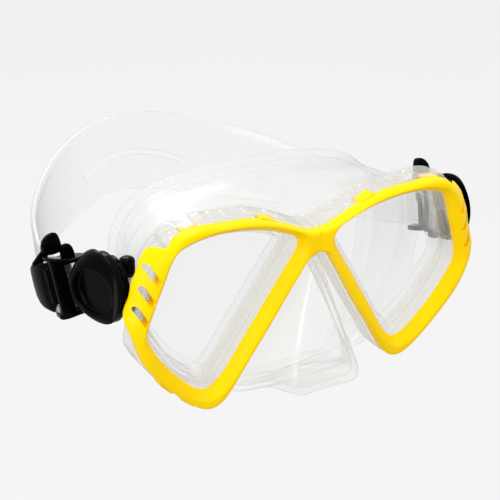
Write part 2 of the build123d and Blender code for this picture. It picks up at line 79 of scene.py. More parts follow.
CLIPS = [(50.0, 33.4, -4), (20.5, 31.2, 21), (57.6, -25.0, 45), (48.9, -33.1, 40)]
FRAME_BACK = -11.5
SKIRT_FRONT = -11.6


def whole(half):
    return half + [(-p[0],) + tuple(p[1:]) for p in reversed(half[1:-1])]


def front(x, v, w):
    """Lens-plane coordinates (across, up, forward) to the row frame, in mm."""
    x, v, w = np.broadcast_arrays(np.asarray(x, float), np.asarray(v, float), np.asarray(w, float))
    return np.stack([x, LENS_Y - ST * v - CT * w, CT * v - ST * w], -1)


def smooth(lo, hi, x):
    t = np.clip((np.asarray(x, float) - lo) / (hi - lo), 0, 1)
    return t * t * (3 - 2 * t)


# ---------------------------------------------------------------------------
# Curves
# ---------------------------------------------------------------------------
def closed_curve(points, n, dense=24):
    """n points, evenly spaced by length, on the smooth closed curve through points."""
    P = np.array(points, float)
    m = len(P)
    h = np.linalg.norm(np.roll(P, -1, axis=0) - P, axis=1)
    A = np.zeros((m, m))
    B = np.zeros_like(P)
    for i in range(m):
        hp, hn, j = h[i - 1], h[i], (i + 1) % m
        A[i, i - 1] += hp
        A[i, i] += 2 * (hp + hn)
        A[i, j] += hn
        B[i] = 6 * ((P[j] - P[i]) / hn - (P[i] - P[i - 1]) / hp)
    M = np.linalg.solve(A, B)
    out = []
    for i in range(m):
        j = (i + 1) % m
        for k in range(dense):
            s = k / dense
            a, b = 1 - s, s
            out.append(a * P[i] + b * P[j] + ((a ** 3 - a) * M[i] + (b ** 3 - b) * M[j]) * h[i] ** 2 / 6)
    return resample(np.array(out), n, True)


def resample(D, n, closed=False):
    Q = np.vstack([D, D[:1]]) if closed else D
    t = np.r_[0, np.cumsum(np.linalg.norm(np.diff(Q, axis=0), axis=1))]
    s = np.linspace(0, t[-1], n + 1)[:-1] if closed else np.linspace(0, t[-1], n)
    return np.stack([np.interp(s, t, Q[:, k]) for k in range(Q.shape[1])], 1)


def open_curve(points, n, dense=24):
    """n evenly spaced points on a smooth open curve through points (natural spline)."""
    P = np.array(points, float)
    m = len(P)
    h = np.linalg.norm(np.diff(P, axis=0), axis=1)
    A = np.eye(m)
    B = np.zeros_like(P)
    for i in range(1, m - 1):
        A[i, i - 1], A[i, i], A[i, i + 1] = h[i - 1], 2 * (h[i - 1] + h[i]), h[i]
        B[i] = 6 * ((P[i + 1] - P[i]) / h[i] - (P[i] - P[i - 1]) / h[i - 1])
    M = np.linalg.solve(A, B)
    out = []
    for i in range(m - 1):
        for k in range(dense):
            b = k / dense
            a = 1 - b
            out.append(a * P[i] + b * P[i + 1] + ((a ** 3 - a) * M[i] + (b ** 3 - b) * M[i + 1]) * h[i] ** 2 / 6)
    out.append(P[-1])
    return resample(np.array(out), n)


def normals2(L):
    """Outward unit normals of a closed 2-D loop of points."""
    d = np.roll(L, -1, axis=0) - np.roll(L, 1, axis=0)
    d /= np.linalg.norm(d, axis=1)[:, None]
    x, y = L[:, 0], L[:, 1]
    area = np.sum(x * np.roll(y, -1) - np.roll(x, -1) * y)
    n = np.stack([d[:, 1], -d[:, 0]], 1)
    return n if area > 0 else -n


# ---------------------------------------------------------------------------
# Meshes
# ---------------------------------------------------------------------------
def make(name, verts, faces, sharp=35, scale=MM):
    me = bpy.data.meshes.new(name)
    me.from_pydata([tuple(v) for v in np.asarray(verts, float) * scale], [], [tuple(f) for f in faces])
    me.validate()
    ob = bpy.data.objects.new(name, me)
    SCENE.collection.objects.link(ob)
    if sharp is not None:
        finish_normals(ob, sharp)
    return ob


def finish_normals(ob, sharp=35):
    bm = bmesh.new()
    bm.from_mesh(ob.data)
    bmesh.ops.recalc_face_normals(bm, faces=bm.faces)
    bm.to_mesh(ob.data)
    bm.free()
    ob.data.shade_smooth()
    ob.data.set_sharp_from_angle(angle=math.radians(sharp))


def tube_faces(rows, cols, close_rows=False, close_cols=True, start=0):
    """Quads of a grid of rows x cols points, row by row."""
    f = []
    for r in range(rows if close_rows else rows - 1):
        for c in range(cols if close_cols else cols - 1):
            a = start + r * cols + c
            b = start + r * cols + (c + 1) % cols
            d = start + ((r + 1) % rows) * cols + c
            e = start + ((r + 1) % rows) * cols + (c + 1) % cols
            f.append((a, b, e, d))
    return f


def loft(name, loops, cap=True, sharp=35):
    """A solid through closed loops with equal point counts."""
    loops = [np.asarray(l, float) for l in loops]
    n = len(loops[0])
    v = np.vstack(loops)
    f = tube_faces(len(loops), n)
    if cap:
        v = np.vstack([v, loops[0].mean(0), loops[-1].mean(0)])
        a, b = len(v) - 2, len(v) - 1
        last = (len(loops) - 1) * n
        f += [(c, (c + 1) % n, a) for c in range(n)]
        f += [(last + c, last + (c + 1) % n, b) for c in range(n)]
    return make(name, v, f, sharp)


def revolve(name, profile, origin, axis, side, n=96, sharp=35, start=0.0):
    """Turns (radius, height) points round an axis. The profile starts and ends on the axis."""
    origin, axis, side = Vector(origin), Vector(axis).normalized(), Vector(side)
    side = (side - axis * side.dot(axis)).normalized()
    up = axis.cross(side)
    v, f, rows = [], [], []
    for r, h in profile:
        if r < 1e-6:
            rows.append([len(v)])
            v.append(tuple(origin + axis * h))
        else:
            rows.append(list(range(len(v), len(v) + n)))
            for k in range(n):
                t = start + 2 * math.pi * k / n
                v.append(tuple(origin + axis * h + (side * math.cos(t) + up * math.sin(t)) * r))
    for a, b in zip(rows, rows[1:]):
        for k in range(n):
            q = [a[k % len(a)], a[(k + 1) % len(a)], b[(k + 1) % len(b)], b[k % len(b)]]
            u = list(dict.fromkeys(q))
            if len(u) >= 3:
                f.append(u)
    return make(name, v, f, sharp)


def boolean(ob, others, operation="DIFFERENCE", solver="EXACT"):
    for o in others:
        m = ob.modifiers.new("cut", "BOOLEAN")
        m.object, m.operation, m.solver = o, operation, solver
        apply_modifiers(ob)
    for o in others:
        bpy.data.objects.remove(o)
    return ob


def apply_modifiers(ob):
    dg = bpy.context.evaluated_depsgraph_get()
    dg.update()
    me = bpy.data.meshes.new_from_object(ob.evaluated_get(dg), preserve_all_data_layers=True, depsgraph=dg)
    ob.modifiers.clear()
    old = ob.data
    ob.data = me
    if old.users == 0:
        bpy.data.meshes.remove(old)


def join(name, obs, sharp=35):
    v, f, base = [], [], 0
    for o in obs:
        v += [tuple(p.co / MM) for p in o.data.vertices]
        f += [tuple(base + i for i in p.vertices) for p in o.data.polygons]
        base = len(v)
    for o in obs:
        bpy.data.objects.remove(o)
    return make(name, v, f, sharp)


def remesh(ob, voxel, smooth_steps=4, factor=0.5, sharp=60):
    m = ob.modifiers.new("voxels", "REMESH")
    m.mode, m.voxel_size, m.use_smooth_shade = "VOXEL", voxel * MM, True
    apply_modifiers(ob)
    if smooth_steps:
        m = ob.modifiers.new("soften", "SMOOTH")
        m.iterations, m.factor = smooth_steps, factor
        apply_modifiers(ob)
    finish_normals(ob, sharp)
    return ob


def bevelled(ob, width=0.25, segments=2, angle=35):
    m = ob.modifiers.new("edge", "BEVEL")
    m.width, m.segments, m.limit_method = width * MM, segments, "ANGLE"
    m.angle_limit, m.use_clamp_overlap, m.harden_normals = math.radians(angle), True, True
    return ob


# ---------------------------------------------------------------------------
# Materials
# ---------------------------------------------------------------------------
def material(name):
    m = bpy.data.materials.new(name)
    m.use_nodes = True
    nt = m.node_tree
    nt.nodes.clear()
    out = nt.nodes.new("ShaderNodeOutputMaterial")
    return m, nt, out


def node(nt, kind, **values):
    n = nt.nodes.new("ShaderNode" + kind)
    for k, v in values.items():
        if k in n.inputs:
            n.inputs[k].default_value = v
        else:
            setattr(n, k, v)
    return n


def link(nt, a, out, b, inp):
    nt.links.new(a.outputs[out], b.inputs[inp])


def coords(nt, scale=(1, 1, 1)):
    tc = node(nt, "TexCoord")
    mp = node(nt, "Mapping")
    mp.inputs["Scale"].default_value = scale
    link(nt, tc, "Object", mp, "Vector")
    return mp


def noise(nt, vec, scale, detail=3.0, rough=0.55):
    n = node(nt, "TexNoise", Scale=scale, Detail=detail, Roughness=rough)
    link(nt, vec, "Vector", n, "Vector")
    return n


def ramp(nt, src, out, lo, hi, p0=0.3, p1=0.7):
    r = node(nt, "ValToRGB")
    r.color_ramp.elements[0].position, r.color_ramp.elements[1].position = p0, p1
    r.color_ramp.elements[0].color = tuple(lo) + (1,) if len(lo) == 3 else lo
    r.color_ramp.elements[1].color = tuple(hi) + (1,) if len(hi) == 3 else hi
    link(nt, src, out, r, "Fac")
    return r


def bump(nt, src, out, strength, distance):
    b = node(nt, "Bump", Strength=strength, Distance=distance)
    link(nt, src, out, b, "Height")
    return b


def plastic(name, lo, hi, rough=(0.22, 0.32), grain=900, grain_strength=0.05, coat=0.0, sss=0.0, spec=0.5):
    m, nt, out = material(name)
    v = coords(nt)
    p = node(nt, "BsdfPrincipled")
    broad = noise(nt, v, 60, 3)
    c = ramp(nt, broad, "Fac", lo, hi)
    link(nt, c, "Color", p, "Base Color")
    fine = noise(nt, v, 420, 4)
    rr = ramp(nt, fine, "Fac", (rough[0],) * 3, (rough[1],) * 3)
    link(nt, rr, "Color", p, "Roughness")
    g = noise(nt, v, grain, 3)
    b = bump(nt, g, "Fac", grain_strength, 0.0002)
    link(nt, b, "Normal", p, "Normal")
    p.inputs["Specular IOR Level"].default_value = spec
    if coat:
        p.inputs["Coat Weight"].default_value = coat
        p.inputs["Coat Roughness"].default_value = 0.08
    if sss:
        p.inputs["Subsurface Weight"].default_value = sss
        p.inputs["Subsurface Radius"].default_value = (0.004, 0.003, 0.0005)
        p.inputs["Subsurface Scale"].default_value = 0.5
    link(nt, p, "BSDF", out, "Surface")
    return m


def clear(name, tint, body, alpha_face, alpha_edge, blend=0.35, rough=0.12, ripple=0.15, ripple_scale=70, gloss=1.0, ior=1.41, through=0.5):
    """A clear moulding: seen straight it lets nearly everything through, and its edges gather a grey veil and gloss."""
    m, nt, out = material(name)
    v = coords(nt)
    lw = node(nt, "LayerWeight", Blend=blend)
    big = noise(nt, v, ripple_scale, 2)
    b = bump(nt, big, "Fac", ripple, 0.0015)
    fine = noise(nt, v, 900, 3)
    b2 = bump(nt, fine, "Fac", 0.012, 0.0001)
    link(nt, b, "Normal", b2, "Normal")
    veil = node(nt, "MapRange")
    veil.inputs["To Min"].default_value = alpha_face
    veil.inputs["To Max"].default_value = alpha_edge
    link(nt, lw, "Facing", veil, "Value")
    p = node(nt, "BsdfPrincipled")
    cr = ramp(nt, big, "Fac", body, tuple(min(1, x * 1.04) for x in body))
    link(nt, cr, "Color", p, "Base Color")
    rr = ramp(nt, fine, "Fac", (rough,) * 3, (rough * 1.6,) * 3)
    link(nt, rr, "Color", p, "Roughness")
    link(nt, b2, "Normal", p, "Normal")
    p.inputs["IOR"].default_value = ior
    t = node(nt, "BsdfTransparent")
    t.inputs["Color"].default_value = tuple(tint) + (1,)
    # the haze inside the moulding lets light through as well as scattering it back
    tr = node(nt, "BsdfTranslucent")
    link(nt, cr, "Color", tr, "Color")
    haze = node(nt, "MixShader")
    haze.inputs["Fac"].default_value = through
    link(nt, p, "BSDF", haze, 1)
    link(nt, tr, "BSDF", haze, 2)
    mix = node(nt, "MixShader")
    link(nt, veil, "Result", mix, "Fac")
    link(nt, t, "BSDF", mix, 1)
    link(nt, haze, "Shader", mix, 2)
    # gloss on top
    gl = node(nt, "BsdfGlossy")
    gl.inputs["Roughness"].default_value = rough
    link(nt, b2, "Normal", gl, "Normal")
    # mirror share by angle, the same from both sides of a face
    lw2 = node(nt, "LayerWeight", Blend=0.5)
    link(nt, b2, "Normal", lw2, "Normal")
    pw = node(nt, "Math", operation="POWER")
    link(nt, lw2, "Facing", pw, 0)
    pw.inputs[1].default_value = 5.0
    f0 = ((ior - 1) / (ior + 1)) ** 2
    fr = node(nt, "MapRange")
    fr.inputs["To Min"].default_value = f0 * gloss
    fr.inputs["To Max"].default_value = 0.85 * gloss
    link(nt, pw, "Value", fr, "Value")
    mix2 = node(nt, "MixShader")
    link(nt, fr, "Result", mix2, "Fac")
    link(nt, mix, "Shader", mix2, 1)
    link(nt, gl, "BSDF", mix2, 2)
    link(nt, mix2, "Shader", out, "Surface")
    return m


def metal(name, colour, rough):
    m, nt, out = material(name)
    v = coords(nt, (1, 1, 12))
    p = node(nt, "BsdfPrincipled")
    n = noise(nt, v, 500, 3)
    c = ramp(nt, n, "Fac", tuple(x * 0.85 for x in colour), colour)
    link(nt, c, "Color", p, "Base Color")
    r = ramp(nt, n, "Fac", (rough * 0.8,) * 3, (rough * 1.3,) * 3)
    link(nt, r, "Color", p, "Roughness")
    p.inputs["Metallic"].default_value = 1.0
    b = bump(nt, n, "Fac", 0.05, 0.0001)
    link(nt, b, "Normal", p, "Normal")
    link(nt, p, "BSDF", out, "Surface")
    return m


YELLOW = plastic("yellow_plastic", (0.95, 0.63, 0.0), (0.99, 0.66, 0.0), rough=(0.24, 0.34), grain=1400, grain_strength=0.04, spec=0.07)
BLACK = plastic("black_plastic", (0.0004, 0.0005, 0.0005), (0.0010, 0.0012, 0.0011), rough=(0.14, 0.22), grain=1800, grain_strength=0.05, spec=0.06)
WASHER = plastic("grey_washer", (0.16, 0.17, 0.18), (0.22, 0.23, 0.24), rough=(0.4, 0.5))
STEEL = metal("steel_pin", (0.62, 0.63, 0.64), 0.22)
SPRING = metal("spring_steel", (0.5, 0.5, 0.5), 0.3)
SILICONE = clear("clear_silicone", (0.995, 0.995, 0.993), (0.93, 0.935, 0.93), 0.035, 0.42, blend=0.4, rough=0.24, ripple=0.10, ripple_scale=45, gloss=0.75)
STRAP_MAT = clear("clear_strap", (0.997, 0.997, 0.994), (0.95, 0.955, 0.945), 0.04, 0.34, blend=0.35, rough=0.2, ripple=0.10, ripple_scale=35)
FRAME_MAT = clear("clear_plastic", (0.992, 0.992, 0.985), (0.86, 0.855, 0.82), 0.02, 0.6, blend=0.5, rough=0.07, ripple=0.25, ripple_scale=90, ior=1.55)
GLASS = clear("lens_glass", (0.997, 0.998, 0.998), (0.88, 0.91, 0.94), 0.01, 0.15, blend=0.3, rough=0.02, ripple=0.0, ior=1.5)


def paint(ob, mat):
    if ob.data.materials:
        for i in range(len(ob.data.materials)):
            ob.data.materials[i] = mat
    else:
        ob.data.materials.append(mat)
    return ob


SLOT = {}
for s in frame["record"].get("materials", []):
    SLOT[s.get("slot")] = s
N = frame["nodes"]
for name, ob in N.items():
    base = name.replace("_right", "").replace("_left", "")
    mat = {"skirt": SILICONE, "strap": STRAP_MAT, "inner_frame": FRAME_MAT, "front_bezel": YELLOW, "lens": GLASS,
           "swivel_washer": WASHER, "hinge_pin": STEEL, "roller_pin": STEEL, "lever_pin": STEEL,
           "lever_spring": SPRING, "strap_roller": BLACK}.get(base, BLACK)
    paint(ob, mat)

# ---------------------------------------------------------------------------
# Yellow bezel and clear frame: one set of columns round each lens opening
# ---------------------------------------------------------------------------
NC = 400
OPEN_L = closed_curve(OPENING, NC)
OPEN_N = normals2(OPEN_L)
OUT_FULL = closed_curve(whole(OUTER), 2400)
half = OUT_FULL[OUT_FULL[:, 0] >= -1e-6]
order = np.argsort(np.arange(len(half)))
k0 = int(np.argmin(np.abs(OUT_FULL[:, 0]) + (OUT_FULL[:, 1] < 20) * 100))
ring = np.roll(OUT_FULL, -k0, axis=0)
right_half = ring[: int(np.argmin(np.abs(ring[:, 0]) + (ring[:, 1] > 20) * 100 + (np.arange(len(ring)) < 10) * 100)) + 1]
if right_half[len(right_half) // 2, 0] < 0:
    right_half = right_half * [-1, 1]
right_half[0, 0] = right_half[-1, 0] = 0.0
TOP_MID, LOW_MID = right_half[0].copy(), right_half[-1].copy()
RIM = right_half


MIDLINE = np.stack([np.zeros(60), np.linspace(LOW_MID[1], TOP_MID[1], 60)], 1)
CLOSED = np.vstack([RIM, MIDLINE[1:-1]])
CENTRE = np.array([38.0, 4.0])


def hit(a, d):
    """First crossing of the ray a + t d with the closed half outline, and where on it."""
    P, Q = CLOSED, np.roll(CLOSED, -1, axis=0)
    e = Q - P
    den = d[0] * e[:, 1] - d[1] * e[:, 0]
    den = np.where(np.abs(den) < 1e-12, 1e-12, den)
    r = P - a
    t = (r[:, 0] * e[:, 1] - r[:, 1] * e[:, 0]) / den
    s = (r[:, 0] * d[1] - r[:, 1] * d[0]) / den
    ok = (t > 1e-6) & (s >= -1e-9) & (s <= 1 + 1e-9)
    i = np.where(ok)[0]
    i = i[np.argmin(t[i])]
    return a + t[i] * d, i + s[i]


BEVEL_W = 2.75
B_PT = OPEN_L + OPEN_N * BEVEL_W
Q_PT = np.zeros_like(B_PT)
Q_AT = np.zeros(NC)
for i in range(NC):
    d = B_PT[i] - CENTRE
    Q_PT[i], Q_AT[i] = hit(B_PT[i] - 0.02 * d, d)
ON_MID = Q_AT > len(RIM) - 1
for corner in (TOP_MID, LOW_MID):
    i = int(np.argmin(np.linalg.norm(Q_PT - corner, axis=1)))
    Q_PT[i] = corner
    ON_MID[i] = True
Q_PT[ON_MID, 0] = 0.0

# depth of the panel's outer edge round the rim, against height and side
EDGE_KEYS = [((0, 24.2), 2.75), ((15, 29.5), 2.7), ((38, 34.1), 2.7), ((50.5, 34.2), 2.7), ((54.6, 33.2), 2.5), ((57.4, 31.5), 2.1),
             ((59.2, 29.7), 1.4), ((61.4, 29.2), -1.2), ((63.8, 28.6), -4.2), ((65.6, 27.0), -4.0), ((67.2, 24.8), -3.5), ((68.3, 22.0), -2.9),
             ((70.7, 16.0), -2.7), ((71.3, 13.0), -2.4), ((72.4, 10.0), -2.6), ((73.35, 7.0), -2.5), ((73.4, 4.0), -0.6), ((72.5, 1.0), 0.9),
             ((71.3, -2.0), 2.1), ((70.0, -5.6), 2.5), ((67.6, -11.6), 2.6), ((54.8, -27.4), 2.6), ((40, -36.8), 2.6),
             ((28.1, -23.6), 2.6), ((12.8, 0.9), 2.6), ((0, 16.3), 2.7)]
arc = np.r_[0, np.cumsum(np.linalg.norm(np.diff(RIM, axis=0), axis=1))]
keys_s = [arc[int(np.argmin(np.linalg.norm(RIM - np.array(p), axis=1)))] for p, w in EDGE_KEYS]
keys_w = [w for p, w in EDGE_KEYS]
fine_s = np.linspace(0, arc[-1], 800)
fine_w = np.interp(fine_s, keys_s, keys_w)
kern = np.hanning(15)
kern /= kern.sum()
fine_w = np.convolve(np.pad(fine_w, 7, mode="edge"), kern, mode="valid")
S_AT = np.interp(np.clip(Q_AT, 0, len(RIM) - 1), np.arange(len(RIM)), arc)
W_EDGE = np.interp(S_AT, fine_s, fine_w)
W_EDGE[ON_MID] = 2.75
RIDGE = 3.1


def rim_distance(P):
    """Distance from points to the real outer edge, the middle line left out."""
    a, b = RIM[:-1:3], np.vstack([RIM[3::3], RIM[-1:]])[: len(RIM[:-1:3])]
    e = b - a
    L = np.maximum((e ** 2).sum(1), 1e-12)
    best = np.full(len(P), 1e9)
    for j in range(len(a)):
        t = np.clip(((P - a[j]) @ e[j]) / L[j], 0, 1)
        d = np.linalg.norm(P - (a[j] + t[:, None] * e[j]), axis=1)
        best = np.minimum(best, d)
    return best


def roundoff(d, r):
    d = np.clip(d, 0, r)
    return -(r - np.sqrt(np.maximum(r * r - (r - d) ** 2, 0)))


def surface_w(t):
    """Front surface, from the ridge (t 0) to the outer edge (t 1)."""
    return RIDGE + (W_EDGE - RIDGE) * (0.35 * t + 0.65 * t * t)


BENT = np.where(ON_MID, 0.0, smooth(2.5, 0.5, W_EDGE))      # 1 where the panel bends back round the temple


def back_w(t):
    """Back surface: flat behind the rim, and a thin wall behind the bent panel."""
    t = np.asarray(t, float)
    thin = surface_w(t) - (1.7 + 3.4 * (1 - smooth(0.02, 0.4, t)))
    return -2.0 * (1 - BENT) + thin * BENT


LEN = np.linalg.norm(Q_PT - B_PT, axis=1)


def across(t):
    return B_PT + (Q_PT - B_PT) * np.asarray(t)[:, None]


def half_solid(name, rows, keep_mid_open=True):
    """rows: (points, w) for each row of the closed section. Mirrored and welded along the middle line."""
    R = len(rows)
    v = np.vstack([front(p[:, 0], p[:, 1], w) for p, w in rows])
    flat = np.vstack([p for p, w in rows])
    f = tube_faces(R, NC, close_rows=True)
    f = [q for q in f if not all(abs(flat[i, 0]) < 1e-7 for i in q)]
    ob = make(name, v, f, None)
    bm = bmesh.new()
    bm.from_mesh(ob.data)
    g = bmesh.ops.duplicate(bm, geom=bm.verts[:] + bm.edges[:] + bm.faces[:])
    new = [e for e in g["geom"] if isinstance(e, bmesh.types.BMVert)]
    for q in new:
        q.co.x = -q.co.x
    bmesh.ops.reverse_faces(bm, faces=[e for e in g["geom"] if isinstance(e, bmesh.types.BMFace)])
    bmesh.ops.remove_doubles(bm, verts=bm.verts[:], dist=2e-5)
    bmesh.ops.dissolve_degenerate(bm, edges=bm.edges[:], dist=1e-6)
    bm.to_mesh(ob.data)
    bm.free()
    return ob


def tfrac(d):
    """t for a distance d in from the outer edge, per column."""
    return 1 - np.minimum(d / np.maximum(LEN, 1e-6), 0.96)


def bezel_rows():
    rows = []

    def at_open(d, w):
        rows.append((OPEN_L + OPEN_N * d, np.full(NC, float(w))))

    at_open(0.6, -2.0)
    at_open(0.15, -2.0)
    at_open(0.0, -1.85)
    at_open(0.0, -0.8)
    at_open(0.0, 0.25)
    at_open(0.05, 0.45)
    at_open(0.2, 0.62)
    for d in (0.7, 1.2, 1.7, 2.1):
        at_open(d, 0.62 + (d - 0.2) * 1.12 + 0.05 * math.sin(math.pi * (d - 0.2) / 2.1))
    at_open(2.35, 2.93)
    at_open(2.55, 3.05)
    for t in (0.0, 0.08, 0.18, 0.3, 0.42, 0.54, 0.66, 0.77, 0.86):
        P = across(np.full(NC, t) * tfrac(1.15))
        rows.append((P, surface_w(t * tfrac(1.15)) + roundoff(rim_distance(P), 1.1)))
    for d in (1.15, 0.85, 0.6, 0.38, 0.2, 0.08, 0.0):
        P = across(tfrac(d)) if d > 0 else Q_PT.copy()
        dd = rim_distance(P)
        if d == 0:
            dd = np.where(ON_MID, dd, 0.0)
        rows.append((P, surface_w(tfrac(d)) + roundoff(dd, 1.1)))
    we = W_EDGE - 1.1
    P = Q_PT.copy()
    we_mid = np.where(ON_MID, surface_w(np.ones(NC)) + roundoff(rim_distance(P), 1.1), we)
    wb = back_w(np.ones(NC))
    for k in (0.35, 0.7):
        rows.append((P, we_mid + (wb + 0.4 - we_mid) * k))
    rows.append((P, wb + 0.4))
    rows.append((across(tfrac(0.12)) if True else P, wb + 0.1))
    rows[-1] = (np.where(ON_MID[:, None], Q_PT, rows[-1][0]), rows[-1][1])
    for d in (0.45,):
        rows.append((np.where(ON_MID[:, None], Q_PT, across(tfrac(d))), back_w(tfrac(d))))
    for t in (0.75, 0.5, 0.25, 0.0):
        tt = np.full(NC, t) * tfrac(0.6)
        rows.append((across(tt), back_w(tt)))
    return rows


bezel = half_solid("bezel", bezel_rows())
finish_normals(bezel, 40)

# slots through each temple panel
def stadium(cx, cy, turn, length, width, n=20):
    pts, a = [], (length - width) / 2
    for s in (1, -1):
        for k in range(n + 1):
            t = -math.pi / 2 + math.pi * k / n
            pts.append((s * (a + width / 2 * math.cos(t)), s * width / 2 * math.sin(t)))
    c, d = math.cos(turn), math.sin(turn)
    return np.array([(cx + x * c - y * d, cy + x * d + y * c) for x, y in pts])


def front_prism(name, pts, w0, w1, sharp=35):
    return loft(name, [front(pts[:, 0], pts[:, 1], np.full(len(pts), w0)), front(pts[:, 0], pts[:, 1], np.full(len(pts), w1))], True, sharp)


cutters = []
for sx, sy in SLOTS:
    for side in (1, -1):
        cutters.append(front_prism("cut", stadium(side * sx, sy, math.radians(side * 62), 7.6, 2.25), -12, 8))
boolean(bezel, cutters)
clips = []
for cx, cy, turn in CLIPS:
    for side in (1, -1):
        L = stadium(side * cx, cy, math.radians(side * turn), 7.0, 1.2, 6)
        clips.append(front_prism("clip", L, -5.0, -0.6))
boolean(bezel, clips, "UNION")
finish_normals(bezel, 38)
paint(bezel, YELLOW)
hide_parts("front_bezel")
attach(bezel, "mask")


# clear frame
def frame_rows():
    rows = []

    def at_open(d, w):
        rows.append((OPEN_L + OPEN_N * d, np.full(NC, float(w))))

    at_open(0.0, -11.2)
    for w in (-9.5, -7.5, -5.6):
        at_open(0.0, w)
    at_open(0.12, -5.15)
    at_open(1.15, -5.12)
    at_open(1.3, -5.0)
    at_open(1.3, -3.5)
    at_open(1.35, -2.15)
    at_open(1.5, -2.05)
    for t in (0.0, 0.2, 0.4, 0.6, 0.8, 1.0):
        tt = t * tfrac(0.9)
        rows.append((across(tt), back_w(tt) - 0.06))
    grow = 0.45
    QN = Q_PT + np.where(ON_MID[:, None], 0, 1) * OUT_N * grow
    wf = back_w(np.ones(NC)) - 0.06
    rows.append((np.where(ON_MID[:, None], Q_PT, across(tfrac(0.25))), back_w(tfrac(0.25)) - 0.06))
    rows.append((np.where(ON_MID[:, None], Q_PT, Q_PT + OUT_N * 0.2), wf))
    rows.append((QN, wf - 0.25))
    pads = pad_height()
    for k, w in enumerate((-3.2, -3.7, -4.2, -5.5, -7.2, -8.7, -9.2, -9.7, -10.7)):
        w_row = np.minimum(wf - 0.25 - 0.25 * (k + 1), w)
        lift = pads * (1.0 if 2 <= k <= 5 else 0.0)
        rows.append((np.where(ON_MID[:, None], Q_PT, QN + OUT_N * lift[:, None]), w_row))
    rows.append((np.where(ON_MID[:, None], Q_PT, QN), np.full(NC, -11.2)))
    rows.append((np.where(ON_MID[:, None], Q_PT, Q_PT + OUT_N * 0.15), np.full(NC, -11.5)))
    for t in (0.8, 0.5, 0.2, 0.0):
        rows.append((across(t * tfrac(0.9)), np.full(NC, -11.5)))
    at_open(1.2, -11.5)
    at_open(0.3, -11.5)
    return rows


def rim_normals():
    d = np.gradient(RIM, axis=0)
    d /= np.linalg.norm(d, axis=1)[:, None]
    n = np.stack([d[:, 1], -d[:, 0]], 1)
    if n[len(n) // 4] @ (RIM[len(n) // 4] - CENTRE) < 0:
        n = -n
    n[0], n[-1] = (0, 1), (0, -1)
    return n


RIM_N = rim_normals()
idx = np.clip(Q_AT, 0, len(RIM) - 1)
OUT_N = np.stack([np.interp(idx, np.arange(len(RIM)), RIM_N[:, k]) for k in (0, 1)], 1)
OUT_N /= np.linalg.norm(OUT_N, axis=1)[:, None]


def pad_height():
    """Small moulded pads along the brow of the frame."""
    s = S_AT
    h = np.zeros(NC)
    top = (Q_PT[:, 1] > 26) & (Q_PT[:, 0] < 62) & ~ON_MID
    for c, r, tall in ((12.5, 1.3, 0.5), (16.4, 1.6, 0.75), (25.6, 2.0, 0.6), (30.2, 1.4, 0.8), (34.4, 1.7, 0.6), (39.0, 1.9, 0.8),
                       (43.6, 1.3, 0.6), (56.2, 1.4, 0.5), (59.2, 1.0, 0.7)):
        h = np.maximum(h, tall * smooth(r + 0.7, r, np.abs(Q_PT[:, 0] - c)))
    return h * top


def tucked(rows):
    """Draws the frame in behind the temple panels, so that the slots stay open."""
    zone = smooth(57.5, 61, Q_PT[:, 0]) * smooth(-9, -2, Q_PT[:, 1]) * smooth(33, 29.5, Q_PT[:, 1]) * ~ON_MID
    wide = np.linalg.norm(Q_PT - OPEN_L, axis=1)
    k = 1 - zone * (1 - np.minimum(1, 2.5 / np.maximum(wide, 2.5)))
    out = []
    for P, w in rows:
        away = np.linalg.norm(P - OPEN_L, axis=1)
        kk = np.where(away > 1.6, np.maximum(k, 1.6 / np.maximum(away, 1.6) + 0.25 * (away - 1.6) / np.maximum(wide, 2)), 1.0)
        kk = np.where(zone > 0.01, np.minimum(kk, 1.0), 1.0)
        out.append((OPEN_L + (P - OPEN_L) * kk[:, None], w))
    return out


clear_frame = half_solid("clear_frame", tucked(frame_rows()))
finish_normals(clear_frame, 40)
parts = []
for side in (1, -1):
    # lug for the upright pin
    c = np.array([side * 65.9, -26.5])
    L = []
    for k in range(48):
        t = 2 * math.pi * k / 48
        L.append((c[0] + 2.3 * math.cos(t), c[1] + 2.3 * math.sin(t)))
    lug = [(c[0] + side * 2.3, c[1] - 5.2), (c[0] + side * 2.3, c[1])]
    for k in range(25):
        t = math.pi * k / 24
        lug.append((c[0] + side * 2.3 * math.cos(t), c[1] + 2.3 * math.sin(t)))
    lug += [(c[0] - side * 2.3, c[1] - 5.2)]
    lug = np.array(lug)
    parts.append(loft("lug", [np.c_[lug, np.full(len(lug), z)] for z in (6.4, 15.0)]))
boolean(clear_frame, parts, "UNION")
holes = []
for side in (1, -1):
    holes.append(revolve("hole", [(0, 5), (1.12, 5), (1.12, 17), (0, 17)], (side * 65.9, -26.5, 0), (0, 0, 1), (1, 0, 0), 40))
boolean(clear_frame, holes)
clip_cut = []
for cx, cy, turn in CLIPS:
    for side in (1, -1):
        L = stadium(side * cx, cy, math.radians(side * turn), 7.3, 1.75, 6)
        clip_cut.append(front_prism("clipcut", L, -5.3, 1.0))
boolean(clear_frame, clip_cut)
finish_normals(clear_frame, 38)
paint(clear_frame, FRAME_MAT)
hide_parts("inner_frame")
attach(clear_frame, "mask")

